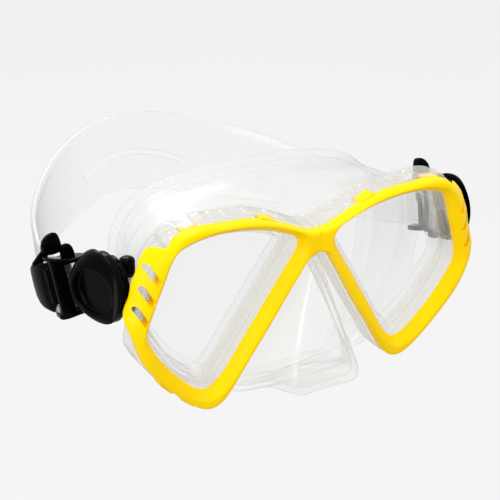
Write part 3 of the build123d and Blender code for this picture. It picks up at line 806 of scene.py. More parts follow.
# ---------------------------------------------------------------------------
# Silicone skirt
# ---------------------------------------------------------------------------
SKIRT_F = [(0, 23.4), (12, 27.2), (25, 31.6), (38, 32.9), (50, 32.2), (58.5, 27.5), (62.3, 10),
           (64.0, -3), (56.6, -18), (48.5, -27.5), (41.5, -33.6), (24, -37.8), (0, -38.6)]
C_LOOP = [(0, -27, 28.2), (13, -27.5, 30.5), (26, -27.2, 31.8), (38, -26.6, 31.9), (49, -26.0, 30.3), (56.5, -26.0, 27.0), (61, -26, 21.5),
          (62.6, -26, 9), (61.0, -25.5, -4), (55.0, -25, -18.5), (47.2, -24.5, -29), (39.5, -24.2, -35.4), (22, -24, -39.2), (0, -24, -40.4)]
M_LOOP = [(0, -14, 35.0), (13, -14, 34.9), (26, -14, 33.4), (38, -14, 31.9), (46, -14, 29.9), (52.5, -14, 26.2), (58.2, -14, 18.5), (59.8, -14, 7.5),
          (57.6, -13.5, -6.5), (51.2, -13.5, -19.6), (43.8, -14, -30.2), (35, -15, -37.4), (20, -17, -41.4), (0, -18, -42.6)]
S_LOOP = [(0, 2.5, 39.0), (13, 2.6, 38.8), (27, 3.3, 37.2), (40, 4.6, 34.0), (50, 5.6, 28.6), (56.5, 5.4, 19.5), (58.6, 3.6, 6),
          (56, 1.4, -8), (50.2, -1.8, -20), (43.4, -6, -30), (34, -11, -37.2), (20, -16, -41.6), (0, -19, -42.8)]
NL = 288


def half_curve(points, n=NL):
    """Closed mirror-symmetric loop, n points spaced evenly from the top middle."""
    P = [tuple(p) for p in points]
    L = closed_curve(P + [(-p[0],) + p[1:] for p in reversed(P[1:-1])], n)
    return L


F2 = half_curve(SKIRT_F)
C3, M3, S3 = half_curve(C_LOOP), half_curve(M_LOOP), half_curve(S_LOOP)


def loop_out(L):
    """Outward unit vectors in the loop's own across-up plane."""
    n = normals2(L[:, [0, 2]])
    return np.stack([n[:, 0], np.zeros(len(n)), n[:, 1]], 1)


def skin_rows():
    F_a = front(F2[:, 0], F2[:, 1], np.full(NL, SKIRT_FRONT))
    F_b = front(F2[:, 0], F2[:, 1], np.full(NL, SKIRT_FRONT - 1.8))
    out = []
    stations = [F_a, F_b, C3, M3, S3]
    t_at = [0.0, 0.07, 0.12, 0.5, 1.0]
    return stations, t_at


def between(a, b, k):
    return a * (1 - k) + b * k


F_A = front(F2[:, 0], F2[:, 1], np.full(NL, SKIRT_FRONT))
F_B = front(F2[:, 0], F2[:, 1], np.full(NL, SKIRT_FRONT - 1.6))


def wall(k):
    """Outer skin of the body behind the flange: k 0 at the flange, 1 at the ridge, 2 at the seal edge."""
    if k <= 1:
        base = between(C3, M3, k)
        dip = -1.1 * math.sin(math.pi * k) ** 1.0
    else:
        base = between(M3, S3, k - 1)
        dip = -0.9 * math.sin(math.pi * (k - 1))
    n = loop_out(base)
    return base + n * dip


def shrink(L, d):
    return L - loop_out(L) * d


outer_loops = [F_A, F_B, C3 + loop_out(C3) * 0.2, shrink(between(C3, M3, 0.05), 0.7)]
outer_loops += [wall(k) for k in (0.15, 0.3, 0.45, 0.6, 0.75, 0.87)]
outer_loops += [M3 + loop_out(M3) * -0.1, M3 + [0, 0.8, 0] + loop_out(M3) * 0.35, M3 + [0, 1.9, 0] + loop_out(M3) * 0.3, between(M3, S3, 0.2) - loop_out(M3) * 0.5]
outer_loops += [wall(k) for k in (1.3, 1.45, 1.6, 1.75)]
outer_loops += [between(M3, S3, 0.88) - loop_out(S3) * 0.15, S3 + loop_out(S3) * 0.25 + [0, -0.6, 0], S3 + loop_out(S3) * 0.3, S3 + [0, 1.0, 0] - loop_out(S3) * 0.5, S3 + [0, 1.2, 0] - loop_out(S3) * 2.5]
body_out = loft("skirt_out", outer_loops, True)

lipw = 5.0 + 2.5 * smooth(-30, -5, S3[:, 2])          # the face flange is narrower under the nose


def shrink_by(L, d):
    return L - loop_out(L) * d[:, None]


F_IN = front(F2[:, 0], F2[:, 1], np.full(NL, SKIRT_FRONT - 2.0))
inner_loops = [shrink(F_IN, 2.3), shrink(C3, 2.4), shrink(wall(0.3), 1.9), shrink(wall(0.6), 1.8), shrink(M3, 1.7), shrink(wall(1.3), 1.5),
               shrink(wall(1.6), 1.4), shrink(wall(1.8), 1.6) + [0, 0.2, 0], shrink(S3, 2.4) + [0, -1.4, 0], shrink_by(S3, lipw * 0.75) + [0, -0.9, 0],
               shrink_by(S3, lipw) + [0, -0.2, 0], shrink_by(S3, lipw + 0.3) + [0, 0.8, 0], shrink_by(S3, lipw + 0.3) + [0, 6.0, 0]]
body_in = loft("skirt_in", inner_loops, True)

# nose pocket: horizontal sections that sink with the sloping underside
NOSE = [(15.0, 0.8, -42.6, 1.6), (9.0, 2.6, -43.7, 6.5), (0.0, 4.8, -45.3, 12.2), (-8.0, 7.0, -46.6, 16.8), (-16.0, 9.2, -48.1, 21.0),
        (-24.0, 11.3, -50.0, 25.4), (-31.0, 12.8, -52.0, 28.0), (-38.0, 13.2, -53.4, 28.8)]


def nose_at(z, d):
    k = [n[0] for n in NOSE][::-1]
    f, yf, b = (float(np.interp(z, k, [n[j] for n in NOSE][::-1])) for j in (1, 2, 3))
    return max(0.35, f - 0.85 * d), yf + d, max(0.6, b - 1.2 * d)


def rounded(poly, r, n):
    """Closed polygon with its corners rounded, n points."""
    P = np.array(poly, float)
    out = []
    m = len(P)
    for i in range(m):
        a, b, c = P[i - 1], P[i], P[(i + 1) % m]
        la, lc = np.linalg.norm(a - b), np.linalg.norm(c - b)
        k = min(r, 0.45 * la, 0.45 * lc)
        p, q = b + (a - b) / la * k, b + (c - b) / lc * k
        for s in np.linspace(0, 1, 9):
            out.append((1 - s) ** 2 * p + 2 * s * (1 - s) * b + s * s * q)
    return resample(np.array(out), n, True)


def nose_solid(name, d, back):
    loops = []
    heights = np.r_[np.linspace(15 - 1.6 * d, -33, 26), [-34.2, -35.2, -36.0]]
    for i, z in enumerate(heights):
        f, yf, b = nose_at(z, d)
        soft = 1.0
        if z < -33:
            s = (-33 - z) / 3.0
            soft = 1 - 0.10 * s * s
        pts = rounded([(-f * soft, yf + (1 - soft) * 14), (f * soft, yf + (1 - soft) * 14), (b * soft, -22.0), (b * soft, back), (-b * soft, back), (-b * soft, -22.0)],
                      min(3.2, 0.6 * f + 0.5), 120)
        # the centre of the front is hollowed between its two ridges
        hollow = 0.9 * np.exp(-(pts[:, 0] / max(0.8, f * 0.62)) ** 2) * smooth(10, 2, z) * (pts[:, 1] < yf + 3)
        y = pts[:, 1] + hollow
        # underside rises to the front
        under = smooth(-14, -33, z)
        slope = smooth(24.5, 41.0, -y)
        zz = z + under * (-4.4 + d * 0.9 + 6.2 * slope)
        loops.append(np.stack([pts[:, 0], y, np.full(len(pts), 0.0) + zz], 1))
    start = int(np.argmin(np.abs(loops[0][:, 0]) + (loops[0][:, 1] > -30) * 99))
    return loft(name, loops, True)


nose_out = nose_solid("nose_out", 0.0, -20.0)
nose_in = nose_solid("nose_in", 1.9, -6.0)

def inset_loop(L, d, step=0.3):
    """Loop moved inward in small steps, evened out at each, so that tight corners stay simple."""
    L = L.copy()
    n = max(1, int(math.ceil(d / step)))
    for _ in range(n):
        L = L - normals2(L) * (d / n)
        L = resample(L, len(L), True)
        L = 0.8 * L + 0.1 * (np.roll(L, 1, axis=0) + np.roll(L, -1, axis=0))
    return L


# collars that press on the back of the glass
collars, tunnels = [], []
for side in (1, -1):
    for store, d, w0, w1 in ((collars, 1.9, -13.0, -5.2), (tunnels, 3.4, -16.5, -3.0)):
        P = inset_loop(OPEN_L[::2], d) * [side, 1]
        store.append(loft("collar", [front(P[:, 0], P[:, 1], np.full(len(P), w)) for w in np.linspace(w0, w1, 6)]))

skirt = join("skirt_body", [body_out, nose_out] + collars, None)
void = join("skirt_void", [body_in, nose_in] + tunnels, None)
remesh(skirt, 0.9, 1, 0.5, 50)
remesh(void, 0.9, 1, 0.5, 50)
boolean(skirt, [void])
remesh(skirt, 0.62, 5, 0.5, 50)
for q in skirt.data.vertices:               # keeps the brow of the body within the designed height
    if q.co.z > 25 * MM:
        q.co.z = 25 * MM + (q.co.z - 25 * MM) * 0.95
paint(skirt, SILICONE)
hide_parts("skirt")
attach(skirt, "mask")

# ---------------------------------------------------------------------------
# Head strap: a tapering silicone band, split at the back, toothed at the buckles
# ---------------------------------------------------------------------------
PB, QB = math.radians(15), math.radians(6)
LONG = np.array([0, math.cos(PB), -math.sin(PB)])
UP0 = np.array([0, math.sin(PB), math.cos(PB)])
OUT0 = np.array([-1.0, 0, 0])
UPB = UP0 * math.cos(QB) + OUT0 * math.sin(QB)
INW = OUT0 * -math.cos(QB) + UP0 * math.sin(QB)
ORIGIN_B = np.array([-77.3, -5.0, 7.0])
BAND_C, HALF_W, STRAP_T = 1.9 + 0.35 + 1.1, 7.6, 2.2


def bk(a, b, c):
    """Point in the right buckle's frame: rearward, up, inward."""
    return ORIGIN_B + LONG * a + UPB * b + INW * c


BAND = [(-74.0, 17.5, 1.5, 7.9), (-72.9, 29.0, 0.7, 8.8), (-69.6, 42.0, 1.0, 10.4), (-63.8, 56.0, 2.0, 12.6),
        (-55.6, 69.4, 3.7, 14.8), (-45.6, 81.4, 5.6, 16.5), (-34.4, 91.6, 7.7, 17.5),
        (-23.0, 98.9, 10.0, 17.8), (-11.4, 103.6, 11.9, 17.5)]
BAND_END = (0.0, 105.2, 12.7, 17.3)
st = []                                     # centre, up, half height
for a in (13.5, 10.0, 7.0, 3.0, 0.0):
    st.append((bk(a, 0, -BAND_C), UPB, HALF_W))
for i in range(1, 12):
    t = math.pi * i / 12
    st.append((bk(-BAND_C * math.sin(t), 0, -BAND_C * math.cos(t)), UPB, HALF_W))
for a in (0.0, 3.0, 8.0):
    st.append((bk(a, 0, BAND_C), UPB, HALF_W))
route = [bk(8.0, 0, BAND_C)] + [np.array(p[:3]) for p in BAND] + [np.array(BAND_END[:3])]
for i, (x, y, z, h) in enumerate(BAND, start=1):
    along = route[i + 1] - route[i - 1]
    along /= np.linalg.norm(along)
    k = max(0.0, 1.0 - i / 5.0)
    u = UPB * k + np.array([0, 0, 1.0]) * (1 - k)
    u = u - along * (u @ along)
    st.append((np.array([x, y, z], float), u / np.linalg.norm(u), h))
st.append((np.array(BAND_END[:3]), np.array([0, 0, 1.0]), BAND_END[3]))
half_st = st
full = half_st + [(c * [-1, 1, 1], u * [-1, 1, 1], h) for c, u, h in reversed(half_st[:-1])]
packed = np.array([np.r_[c, u * 10, h] for c, u, h in full])
dist = np.r_[0, np.cumsum(np.linalg.norm(np.diff(packed[:, :3], axis=0), axis=1))]


def spline_1d(x, Y, xs):
    """Natural cubic spline of each column of Y over x."""
    m = len(x)
    h = np.diff(x)
    A = np.eye(m)
    R = np.zeros_like(Y)
    for i in range(1, m - 1):
        A[i, i - 1], A[i, i], A[i, i + 1] = h[i - 1], 2 * (h[i - 1] + h[i]), h[i]
        R[i] = 6 * ((Y[i + 1] - Y[i]) / h[i] - (Y[i] - Y[i - 1]) / h[i - 1])
    M = np.linalg.solve(A, R)
    i = np.clip(np.searchsorted(x, xs) - 1, 0, m - 2)
    b = (xs - x[i]) / h[i]
    a = 1 - b
    hh = (h[i] ** 2)[:, None]
    return a[:, None] * Y[i] + b[:, None] * Y[i + 1] + ((a ** 3 - a)[:, None] * M[i] + (b ** 3 - b)[:, None] * M[i + 1]) * hh / 6


LS = 760
ss = np.linspace(0, dist[-1], LS)
X = spline_1d(dist, packed, ss)
CEN, UPV, HH = X[:, :3], X[:, 3:6], X[:, 6]
ALV = np.gradient(CEN, axis=0)
ALV /= np.linalg.norm(ALV, axis=1)[:, None]
UPV = UPV - ALV * (UPV * ALV).sum(1)[:, None]
UPV /= np.linalg.norm(UPV, axis=1)[:, None]
THV = np.cross(ALV, UPV)                    # through the band's thickness
mid_i = LS // 2
if THV[mid_i, 1] < 0:                       # towards the back of the head, which is the band's outer face
    THV = -THV
total = dist[-1]
end_s = np.minimum(ss, total - ss)          # distance from the nearer free end

SLOT_MID = [(-30, 4.6), (-23, 7.4), (-17, 9.5), (-9, 11.7), (0, 12.6), (9, 11.7), (17, 9.5), (23, 7.4), (30, 4.6)]
sm = np.array(SLOT_MID)


def slot_gap(x, z):
    """Distance from the slot's middle line on the back of the head, in mm."""
    xs = np.clip(x, -23.5, 23.5)
    zc = np.interp(xs, sm[:, 0], sm[:, 1])
    return np.hypot(x - xs, z - zc)


# section: v runs -1..1 across the band, on the outer then the inner face, with round edges
NVF = 30
vs = np.sin(np.linspace(-1, 1, NVF) * math.pi / 2)
vs = 0.55 * np.linspace(-1, 1, NVF) + 0.45 * vs
rows = []
full_t = STRAP_T / 2
for side in (1, -1):
    for v in (vs if side == 1 else vs[::-1]):
        hh = HH - 0.55
        P = CEN + UPV * (hh * v)[:, None]
        thick = np.full(LS, full_t)
        # thinner web towards the back, with a bead along both edges
        web = smooth(60, 110, end_s)
        bead = np.exp(-((np.abs(v) * hh - (hh - 1.4)) / 1.3) ** 2)
        thick = thick - 0.42 * web * (1 - bead)
        # raised rim round the slot
        back_zone = (np.abs(CEN[:, 0]) < 34) & (CEN[:, 1] > 80)
        g = slot_gap(P[:, 0], P[:, 2])
        thick = thick + np.where(back_zone, 0.5 * np.exp(-((g - 2.4) / 0.9) ** 2), 0)
        # teeth across the strap where it passes through the buckle, on the outer face
        if side == 1:
            zone = smooth(5.0, 6.5, end_s) * smooth(62, 58, end_s) * smooth(0.93, 0.83, abs(v))
            tooth = 0.5 - 0.5 * np.cos(2 * math.pi * end_s / 2.2)
            thick = thick - 0.38 * zone * tooth * smooth(34, 28, np.abs(end_s - 20)) * 1.0
        rows.append(P + THV * (side * thick)[:, None])
    # round edge
    for ang in (60, 30, 0, -30, -60):
        a = math.radians(ang)
        e = 1 if side == 1 else -1
        hh = HH - 0.55
        P = CEN + UPV * (e * (hh + 0.55 * math.cos(a)))[:, None]
        rows.append(P + THV * (side * full_t * math.sin(a)))
G = np.array(rows)                          # section points x stations x 3
ns = G.shape[0]
verts = G.transpose(1, 0, 2).reshape(-1, 3)
faces = tube_faces(LS, ns)
ends = []
for r in (0, LS - 1):
    c = len(verts) + len(ends)
    ends.append(verts[r * ns:(r + 1) * ns].mean(0))
    faces += [(r * ns + k, r * ns + (k + 1) % ns, c) for k in range(ns)]
verts = np.vstack([verts, ends])
strap = make("head_strap_band", verts, faces, None)
# the slot
sl = []
xs = np.linspace(-23.5, 23.5, 40)
zc = np.interp(xs, sm[:, 0], sm[:, 1])
zc = np.convolve(np.pad(zc, 4, mode="reflect", reflect_type="odd"), np.ones(9) / 9, mode="valid")
tang = np.gradient(zc, xs)
nrm = np.stack([-tang, np.ones_like(tang)], 1)
nrm /= np.linalg.norm(nrm, axis=1)[:, None]
top = np.stack([xs, zc], 1) + nrm * 1.25
bot = np.stack([xs, zc], 1) - nrm * 1.25
cap_r = [(23.5 + 1.25 * math.sin(a), zc[-1] + 1.25 * math.cos(a)) for a in np.linspace(0.3, math.pi - 0.3, 8)]
cap_l = [(-23.5 - 1.25 * math.sin(a), zc[0] - 1.25 * math.cos(a)) for a in np.linspace(0.3, math.pi - 0.3, 8)]
loop_pts = np.vstack([top, cap_r, bot[::-1], cap_l])
sl = loft("slot", [np.stack([loop_pts[:, 0], np.full(len(loop_pts), y), loop_pts[:, 1]], 1) for y in (84.0, 120.0)])
boolean(strap, [sl])
finish_normals(strap, 40)
paint(strap, STRAP_MAT)
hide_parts("strap")
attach(strap, "head_strap")

# ---------------------------------------------------------------------------
# Buckles: cap, arm, swivelling frame and release lever, made on the wearer's right and mirrored
# ---------------------------------------------------------------------------
def bks(pts):
    """Points in the right buckle's frame (rearward, up, inward) to the shared frame."""
    pts = np.asarray(pts, float)
    return ORIGIN_B + pts[:, :1] * LONG + pts[:, 1:2] * UPB + pts[:, 2:3] * INW


def mirrored(ob, name):
    v = [(-p.co.x / MM, p.co.y / MM, p.co.z / MM) for p in ob.data.vertices]
    f = [tuple(reversed(p.vertices)) for p in ob.data.polygons]
    return make(name, v, f, 40)


def outward(L):
    d = np.roll(L, -1, 0) - np.roll(L, 1, 0)
    d /= np.maximum(np.linalg.norm(d, axis=1)[:, None], 1e-9)
    n = np.stack([d[:, 1], -d[:, 0]], 1)
    area2 = (L[:, 0] * np.roll(L[:, 1], -1) - np.roll(L[:, 0], -1) * L[:, 1]).sum()
    return n if area2 > 0 else -n


def pad(name, L, h0, h1, place, r0=0.35, r1=0.35, steps=4, rings=(0.8, 0.55, 0.3)):
    """A slab with rounded edges on the closed outline L, between two heights; place() puts (outline, height) in space."""
    L = np.asarray(L, float)
    nrm, mid = outward(L), L.mean(0)
    h0 = np.broadcast_to(np.asarray(h0, float), (len(L),))
    h1 = np.broadcast_to(np.asarray(h1, float), (len(L),))
    loops = []
    inner = L - nrm * r0
    for k in rings[::-1]:
        loops.append(place(mid + (inner - mid) * k, h0))
    for k in range(steps + 1):
        t = math.pi / 2 * k / steps
        loops.append(place(L - nrm * r0 * (1 - math.sin(t)), h0 + r0 * (1 - math.cos(t))))
    for k in range(steps + 1):
        t = math.pi / 2 * k / steps
        loops.append(place(L - nrm * r1 * (1 - math.cos(t)), h1 - r1 * (1 - math.sin(t))))
    inner = L - nrm * r1
    for k in rings:
        loops.append(place(mid + (inner - mid) * k, h1))
    return loft(name, loops, True, 40)


def disc(r, n=96):
    t = np.arange(n) * 2 * math.pi / n
    return np.stack([r * np.cos(t), r * np.sin(t)], 1)


def on_swivel(P, h):
    """Outline in (Y, Z) round the swivel axis, height outward along -X."""
    return np.stack([-np.asarray(h) * np.ones(len(P)), -24.0 + P[:, 0], 12.0 + P[:, 1]], 1)


def grow(ob, others):
    return boolean(ob, others, "UNION")


# ---- cap: a rounded drum with a dished face turned forward and a little down
C0, F0 = np.array([-74.7, -24.0, 12.9]), np.array([-78.7, -25.8, 11.9])
YAW, DOWN = math.radians(27), math.radians(4)
FACE_N = np.array([-math.cos(YAW) * math.cos(DOWN), -math.sin(YAW) * math.cos(DOWN), -math.sin(DOWN)])
FACE_1 = np.array([-math.sin(YAW), math.cos(YAW), 0.0])
FACE_2 = np.cross(FACE_N, FACE_1)
FACE_2 = FACE_2 if FACE_2[2] > 0 else -FACE_2
CAP_PROFILE = [(11.0, 0.0), (12.0, 0.01), (12.5, 0.04), (12.75, 0.09), (12.85, 0.18), (12.8, 0.30), (12.6, 0.43), (12.25, 0.55),
               (11.75, 0.67), (11.2, 0.77), (10.6, 0.86), (10.1, 0.92), (9.7, 0.96), (9.3, 0.985), (8.9, 1.0), (8.6, 1.0), (8.35, 0.985),
               (8.2, 0.95), (8.1, 0.88), (8.0, 0.78), (7.85, 0.70), (7.6, 0.66), (7.2, 0.65), (5.0, 0.65), (2.6, 0.65)]
loops = []
for r, s in CAP_PROFILE:
    e1 = (1 - s) * np.array([0, 1.0, 0]) + s * FACE_1
    e2 = (1 - s) * np.array([0, 0, 1.0]) + s * FACE_2
    t = np.arange(128) * 2 * math.pi / 128
    c = C0 + (F0 - C0) * s
    loops.append(c + np.cos(t)[:, None] * r * e1 / np.linalg.norm(e1) + np.sin(t)[:, None] * r * e2 / np.linalg.norm(e2))
cap_right = loft("cap_right", loops, True, 50)

# ---- arm: base disc, post, link and the knuckles on the upright pin
arm_right = pad("arm_right", disc(10.2) + [0.0, 0.0], 68.6, 70.4, on_swivel, 0.5, 0.5)
post = pad("post", disc(4.0, 48), 70.0, 74.65, on_swivel, 0.1, 0.1, 2)
PINC = np.array([-65.9, -26.5])
ball = revolve("ball", [(0, 15.3), (1.7, 15.3), (2.2, 15.5), (2.5, 16.0), (2.65, 16.9), (2.7, 20.6), (2.62, 21.2), (2.35, 21.75),
                        (1.7, 22.15), (0.8, 22.3), (0, 22.3)], (PINC[0], PINC[1], 0), (0, 0, 1), (1, 0, 0), 48, 45)
low = revolve("low", [(0, 2.5), (1.6, 2.5), (2.2, 2.8), (2.4, 3.3), (2.4, 5.6), (2.2, 6.0), (1.8, 6.1), (0, 6.1)],
              (PINC[0], PINC[1], 0), (0, 0, 1), (1, 0, 0), 48, 45)


def bar(name, a, b, wide, thick, up, n=24):
    """A bar with a rounded section between two points."""
    a, b, up = np.array(a, float), np.array(b, float), np.array(up, float)
    d = (b - a) / np.linalg.norm(b - a)
    s = np.cross(d, up)
    s /= np.linalg.norm(s)
    u = np.cross(s, d)
    t = np.arange(n) * 2 * math.pi / n
    sec = np.stack([np.sign(np.cos(t)) * np.abs(np.cos(t)) ** 0.5 * wide / 2, np.sign(np.sin(t)) * np.abs(np.sin(t)) ** 0.5 * thick / 2], 1)
    out = []
    for k, q in ((0.0, 0.75), (0.03, 0.95), (0.1, 1.0), (0.9, 1.0), (0.97, 0.95), (1.0, 0.75)):
        out.append(a + (b - a) * k + s * (sec[:, :1] * q) + u * (sec[:, 1:] * q))
    return loft(name, out, True, 45)


link_up = bar("link_up", (-65.9, -26.5, 18.9), (-70.1, -26.0, 21.2), 4.0, 2.4, (0, 0, 1))
link_low = bar("link_low", (-65.9, -26.5, 4.4), (-70.1, -26.0, 4.2), 4.0, 2.2, (0, 0, 1))
grow(arm_right, [post, ball, low, link_up, link_low])
hole = revolve("hole", [(0, 2), (1.12, 2), (1.12, 20.5), (0, 20.5)], (PINC[0], PINC[1], 0), (0, 0, 1), (1, 0, 0), 40)
boolean(arm_right, [hole])
finish_normals(arm_right, 45)

# ---- buckle frame: ring, side arms, pitched saddle cheeks, cross bar, small wing
PITCH = 0.35


def saddle(P, h):
    """Outline in (rearward, outward); the height rises outward."""
    lift = PITCH * np.maximum(P[:, 1], 0.0)
    return bks(np.stack([P[:, 0], np.asarray(h) * np.ones(len(P)) + lift, -P[:, 1]], 1))


def flat(P, h):
    return bks(np.stack([P[:, 0], np.asarray(h) * np.ones(len(P)), -P[:, 1]], 1))


def between(P, h):
    up = np.asarray(h, float) * np.ones(len(P))
    return bks(np.stack([P[:, 0], np.where(up > 0, up + PITCH * P[:, 1], up), -P[:, 1]], 1))


ring = pad("buckle_right", disc(12.2, 128), 71.45, 74.4, on_swivel, 0.5, 0.5)
hole = revolve("hole", [(0, 70.0), (4.1, 70.0), (4.1, 76.0), (0, 76.0)], (0, -24, 12), (-1, 0, 0), (0, 1, 0), 64)
boolean(ring, [hole])


def ringplane(P, h):
    """Outline in (rearward, up) of the ring's flat plate, height outward."""
    return np.array([0, -24.0, 12.0]) + P[:, :1] * LONG + P[:, 1:2] * UP0 + np.stack([-np.asarray(h) * np.ones(len(P)), 0 * P[:, 0], 0 * P[:, 0]], 1)


def rounded_rect(x0, x1, y0, y1, r, n=5):
    pts = []
    for cx, cy, a0 in ((x1 - r, y1 - r, 0), (x0 + r, y1 - r, 90), (x0 + r, y0 + r, 180), (x1 - r, y0 + r, 270)):
        for k in range(n + 1):
            t = math.radians(a0 + 90 * k / n)
            pts.append((cx + r * math.cos(t), cy + r * math.sin(t)))
    return np.array(pts)


sides = []
for s in (1, -1):
    q = rounded_rect(-0.5, 13.3, 7.85, 9.75, 0.6)
    q[:, 1] *= s
    sides.append(pad("side", q, 71.5, 74.35, ringplane, 0.3, 0.3, 3))
sides.append(pad("back", rounded_rect(8.0, 10.4, -8.6, 8.6, 0.6), 71.5, 74.35, ringplane, 0.3, 0.3, 3))
up_cheek = closed_curve([(-6.5, -5.2), (4.2, -5.4), (7.6, -2.6), (7.4, 1.0), (5.4, 4.4), (2.8, 6.6), (-0.8, 7.6), (-4.6, 7.6), (-6.7, 6.0), (-6.7, 0)], 96)
low_cheek = closed_curve([(-6.5, -5.2), (3.2, -5.4), (4.5, -2.0), (4.6, 3.0), (2.8, 6.6), (-1.5, 7.8), (-5.6, 8.0), (-6.9, 6.2), (-6.8, 2)], 96)
sides.append(pad("upper", up_cheek, 8.1, 9.5, saddle, 0.35, 0.5))
sides.append(pad("lower", low_cheek, -9.9, -8.0, flat, 0.8, 0.3))
sides.append(pad("crossbar", rounded_rect(-6.4, -4.75, 2.6, 7.7, 0.5), -9.0, 9.0, between, 0.2, 0.2, 3, ()))
# small fixed wing
small_wing = closed_curve([(-0.3, 9.2), (3.8, 9.0), (4.1, 11.6), (3.4, 13.4), (1.9, 14.2), (0.2, 13.6), (-0.6, 11.8)], 64)


def upright(a0):
    """Outline in (inward, up), height is forward of a0."""
    return lambda P, h: bks(np.stack([a0 - np.asarray(h) * np.ones(len(P)), P[:, 1], P[:, 0]], 1))


sides.append(pad("wing", small_wing, 0.0, 2.0, upright(1.0), 0.5, 0.7))
buckle_right = grow(ring, sides)
ribs = []
for k in range(3):
    q = rounded_rect(-0.2, 4.8, 10.4 + 1.25 * k, 10.95 + 1.25 * k, 0.2)
    q = np.stack([q[:, 0], q[:, 1] + 0.25 * (q[:, 0] - 1)], 1)
    ribs.append(pad("rib", q, 1.4, 3.0, upright(1.0), 0.02, 0.02, 1, ()))
boolean(buckle_right, ribs)
for a, c in ((0, 0), (-0.5, -6.3)):
    t = np.arange(32) * 2 * math.pi / 32
    P = np.stack([a + 0.9 * np.cos(t), -c + 0.9 * np.sin(t)], 1)
    boolean(buckle_right, [loft("hole", [flat(P, -14.0), flat(P, 14.0)])])
finish_normals(buckle_right, 45)

# ---- release lever: barrel, shield plate with fine lines, neck and the big ribbed wing
SK_A = [-3.0, -1.6, 1.0, 3.0, 5.5, 8.0, 10.5, 13.0, 15.5, 18.0]
SK_C = [5.6, 6.3, 7.5, 8.0, 8.25, 8.2, 7.8, 6.9, 5.5, 3.7]


def skin(P, h):
    """Outline in (rearward, up); height outward from the plate's inner skin."""
    base = np.interp(P[:, 0], SK_A, SK_C) - 0.012 * (P[:, 1] - 1.0) ** 2 * 0.6
    return bks(np.stack([P[:, 0], P[:, 1], -(base + np.asarray(h))], 1))


shield = closed_curve([(-1.7, 1.0), (-1.8, 5.5), (-1.5, 8.6), (0.4, 9.8), (4.2, 9.8), (8.0, 9.3), (11.4, 7.3), (13.2, 3.8), (12.8, 0.2),
                       (10.2, -3.4), (6.4, -6.0), (2.6, -7.2), (-0.4, -7.6), (-1.6, -6.2), (-1.7, -2.5)], 140)
lever_right = pad("lever_right_plate", shield, 0.0, 1.5, skin, 0.25, 0.7, 5, (0.93, 0.85, 0.76, 0.66, 0.56, 0.45, 0.34, 0.22, 0.1))
barrel_pts = disc(1.45, 40) + [-0.5, 6.3]
barrel = pad("barrel", barrel_pts, -4.2, 7.7, flat, 0.15, 0.15, 2)
rib_front = pad("web", rounded_rect(-1.6, 0.6, 5.6, 8.3, 0.4), -4.2, 7.7, flat, 0.15, 0.15, 2)
neck = bar("neck", bk(5.2, 8.8, -8.9), bk(4.2, 13.4, -3.4), 3.0, 1.7, LONG)
big = closed_curve([(-5.6, 12.6), (-4.0, 11.6), (-1.0, 11.4), (0.9, 12.0), (1.3, 14.2), (1.1, 16.6), (0.3, 18.4), (-1.2, 18.7), (-3.6, 17.9),
                    (-5.3, 16.2), (-5.9, 14.4)], 90)
wing = pad("wing", big, 0.0, 2.7, upright(4.1), 0.5, 0.9)
grow(lever_right, [barrel, rib_front, neck, wing])
cuts = []
for k in range(5):
    y0 = 12.6 + 1.15 * k
    q = rounded_rect(-7.2, -0.6, y0, y0 + 0.6, 0.28)
    q = np.stack([q[:, 0], q[:, 1] + 0.45 * (q[:, 0] + 3)], 1)
    cuts.append(pad("rib", q, 1.9, 4.0, upright(4.1), 0.02, 0.02, 1, ()))
# fine line along the front of the plate with short rungs
line = np.array([(0.6, 7.6), (0.95, 7.6), (1.5, 4.0), (1.75, 0.5), (1.6, -3.0), (1.1, -5.8), (0.8, -5.8), (1.25, -3.0), (1.4, 0.5), (1.15, 4.0)])
cuts.append(loft("line", [skin(line, 1.22), skin(line, 2.4)]))
for k in range(4):
    y0 = -4.6 + 1.3 * k
    q = np.array([(-0.9, y0), (1.35, y0 - 0.1), (1.35, y0 + 0.25), (-0.9, y0 + 0.35)])
    cuts.append(loft("rung", [skin(q, 1.2), skin(q, 2.4)]))
boolean(lever_right, cuts)
t = np.arange(32) * 2 * math.pi / 32
P = np.stack([-0.5 + 0.9 * np.cos(t), 6.3 + 0.9 * np.sin(t)], 1)
boolean(lever_right, [loft("hole", [flat(P, -14.0), flat(P, 9.9)])])
finish_normals(lever_right, 45)

for ob, node_name, body in ((cap_right, "swivel_cap", "mask"), (arm_right, "buckle_arm", "mask"), (buckle_right, "buckle_frame", "head_strap"),
                            (lever_right, "release_lever", "lever")):
    ob.name = node_name + "_right_detail"
    other = mirrored(ob, node_name + "_left_detail")
    for o, side in ((ob, "right"), (other, "left")):
        finish_normals(o, 45)
        paint(o, BLACK)
        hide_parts(node_name + "_" + side)
        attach(o, body if body != "lever" else "lever_" + side)
for side in ("right", "left"):
    bevelled(N["strap_roller_" + side], 0.2, 2)



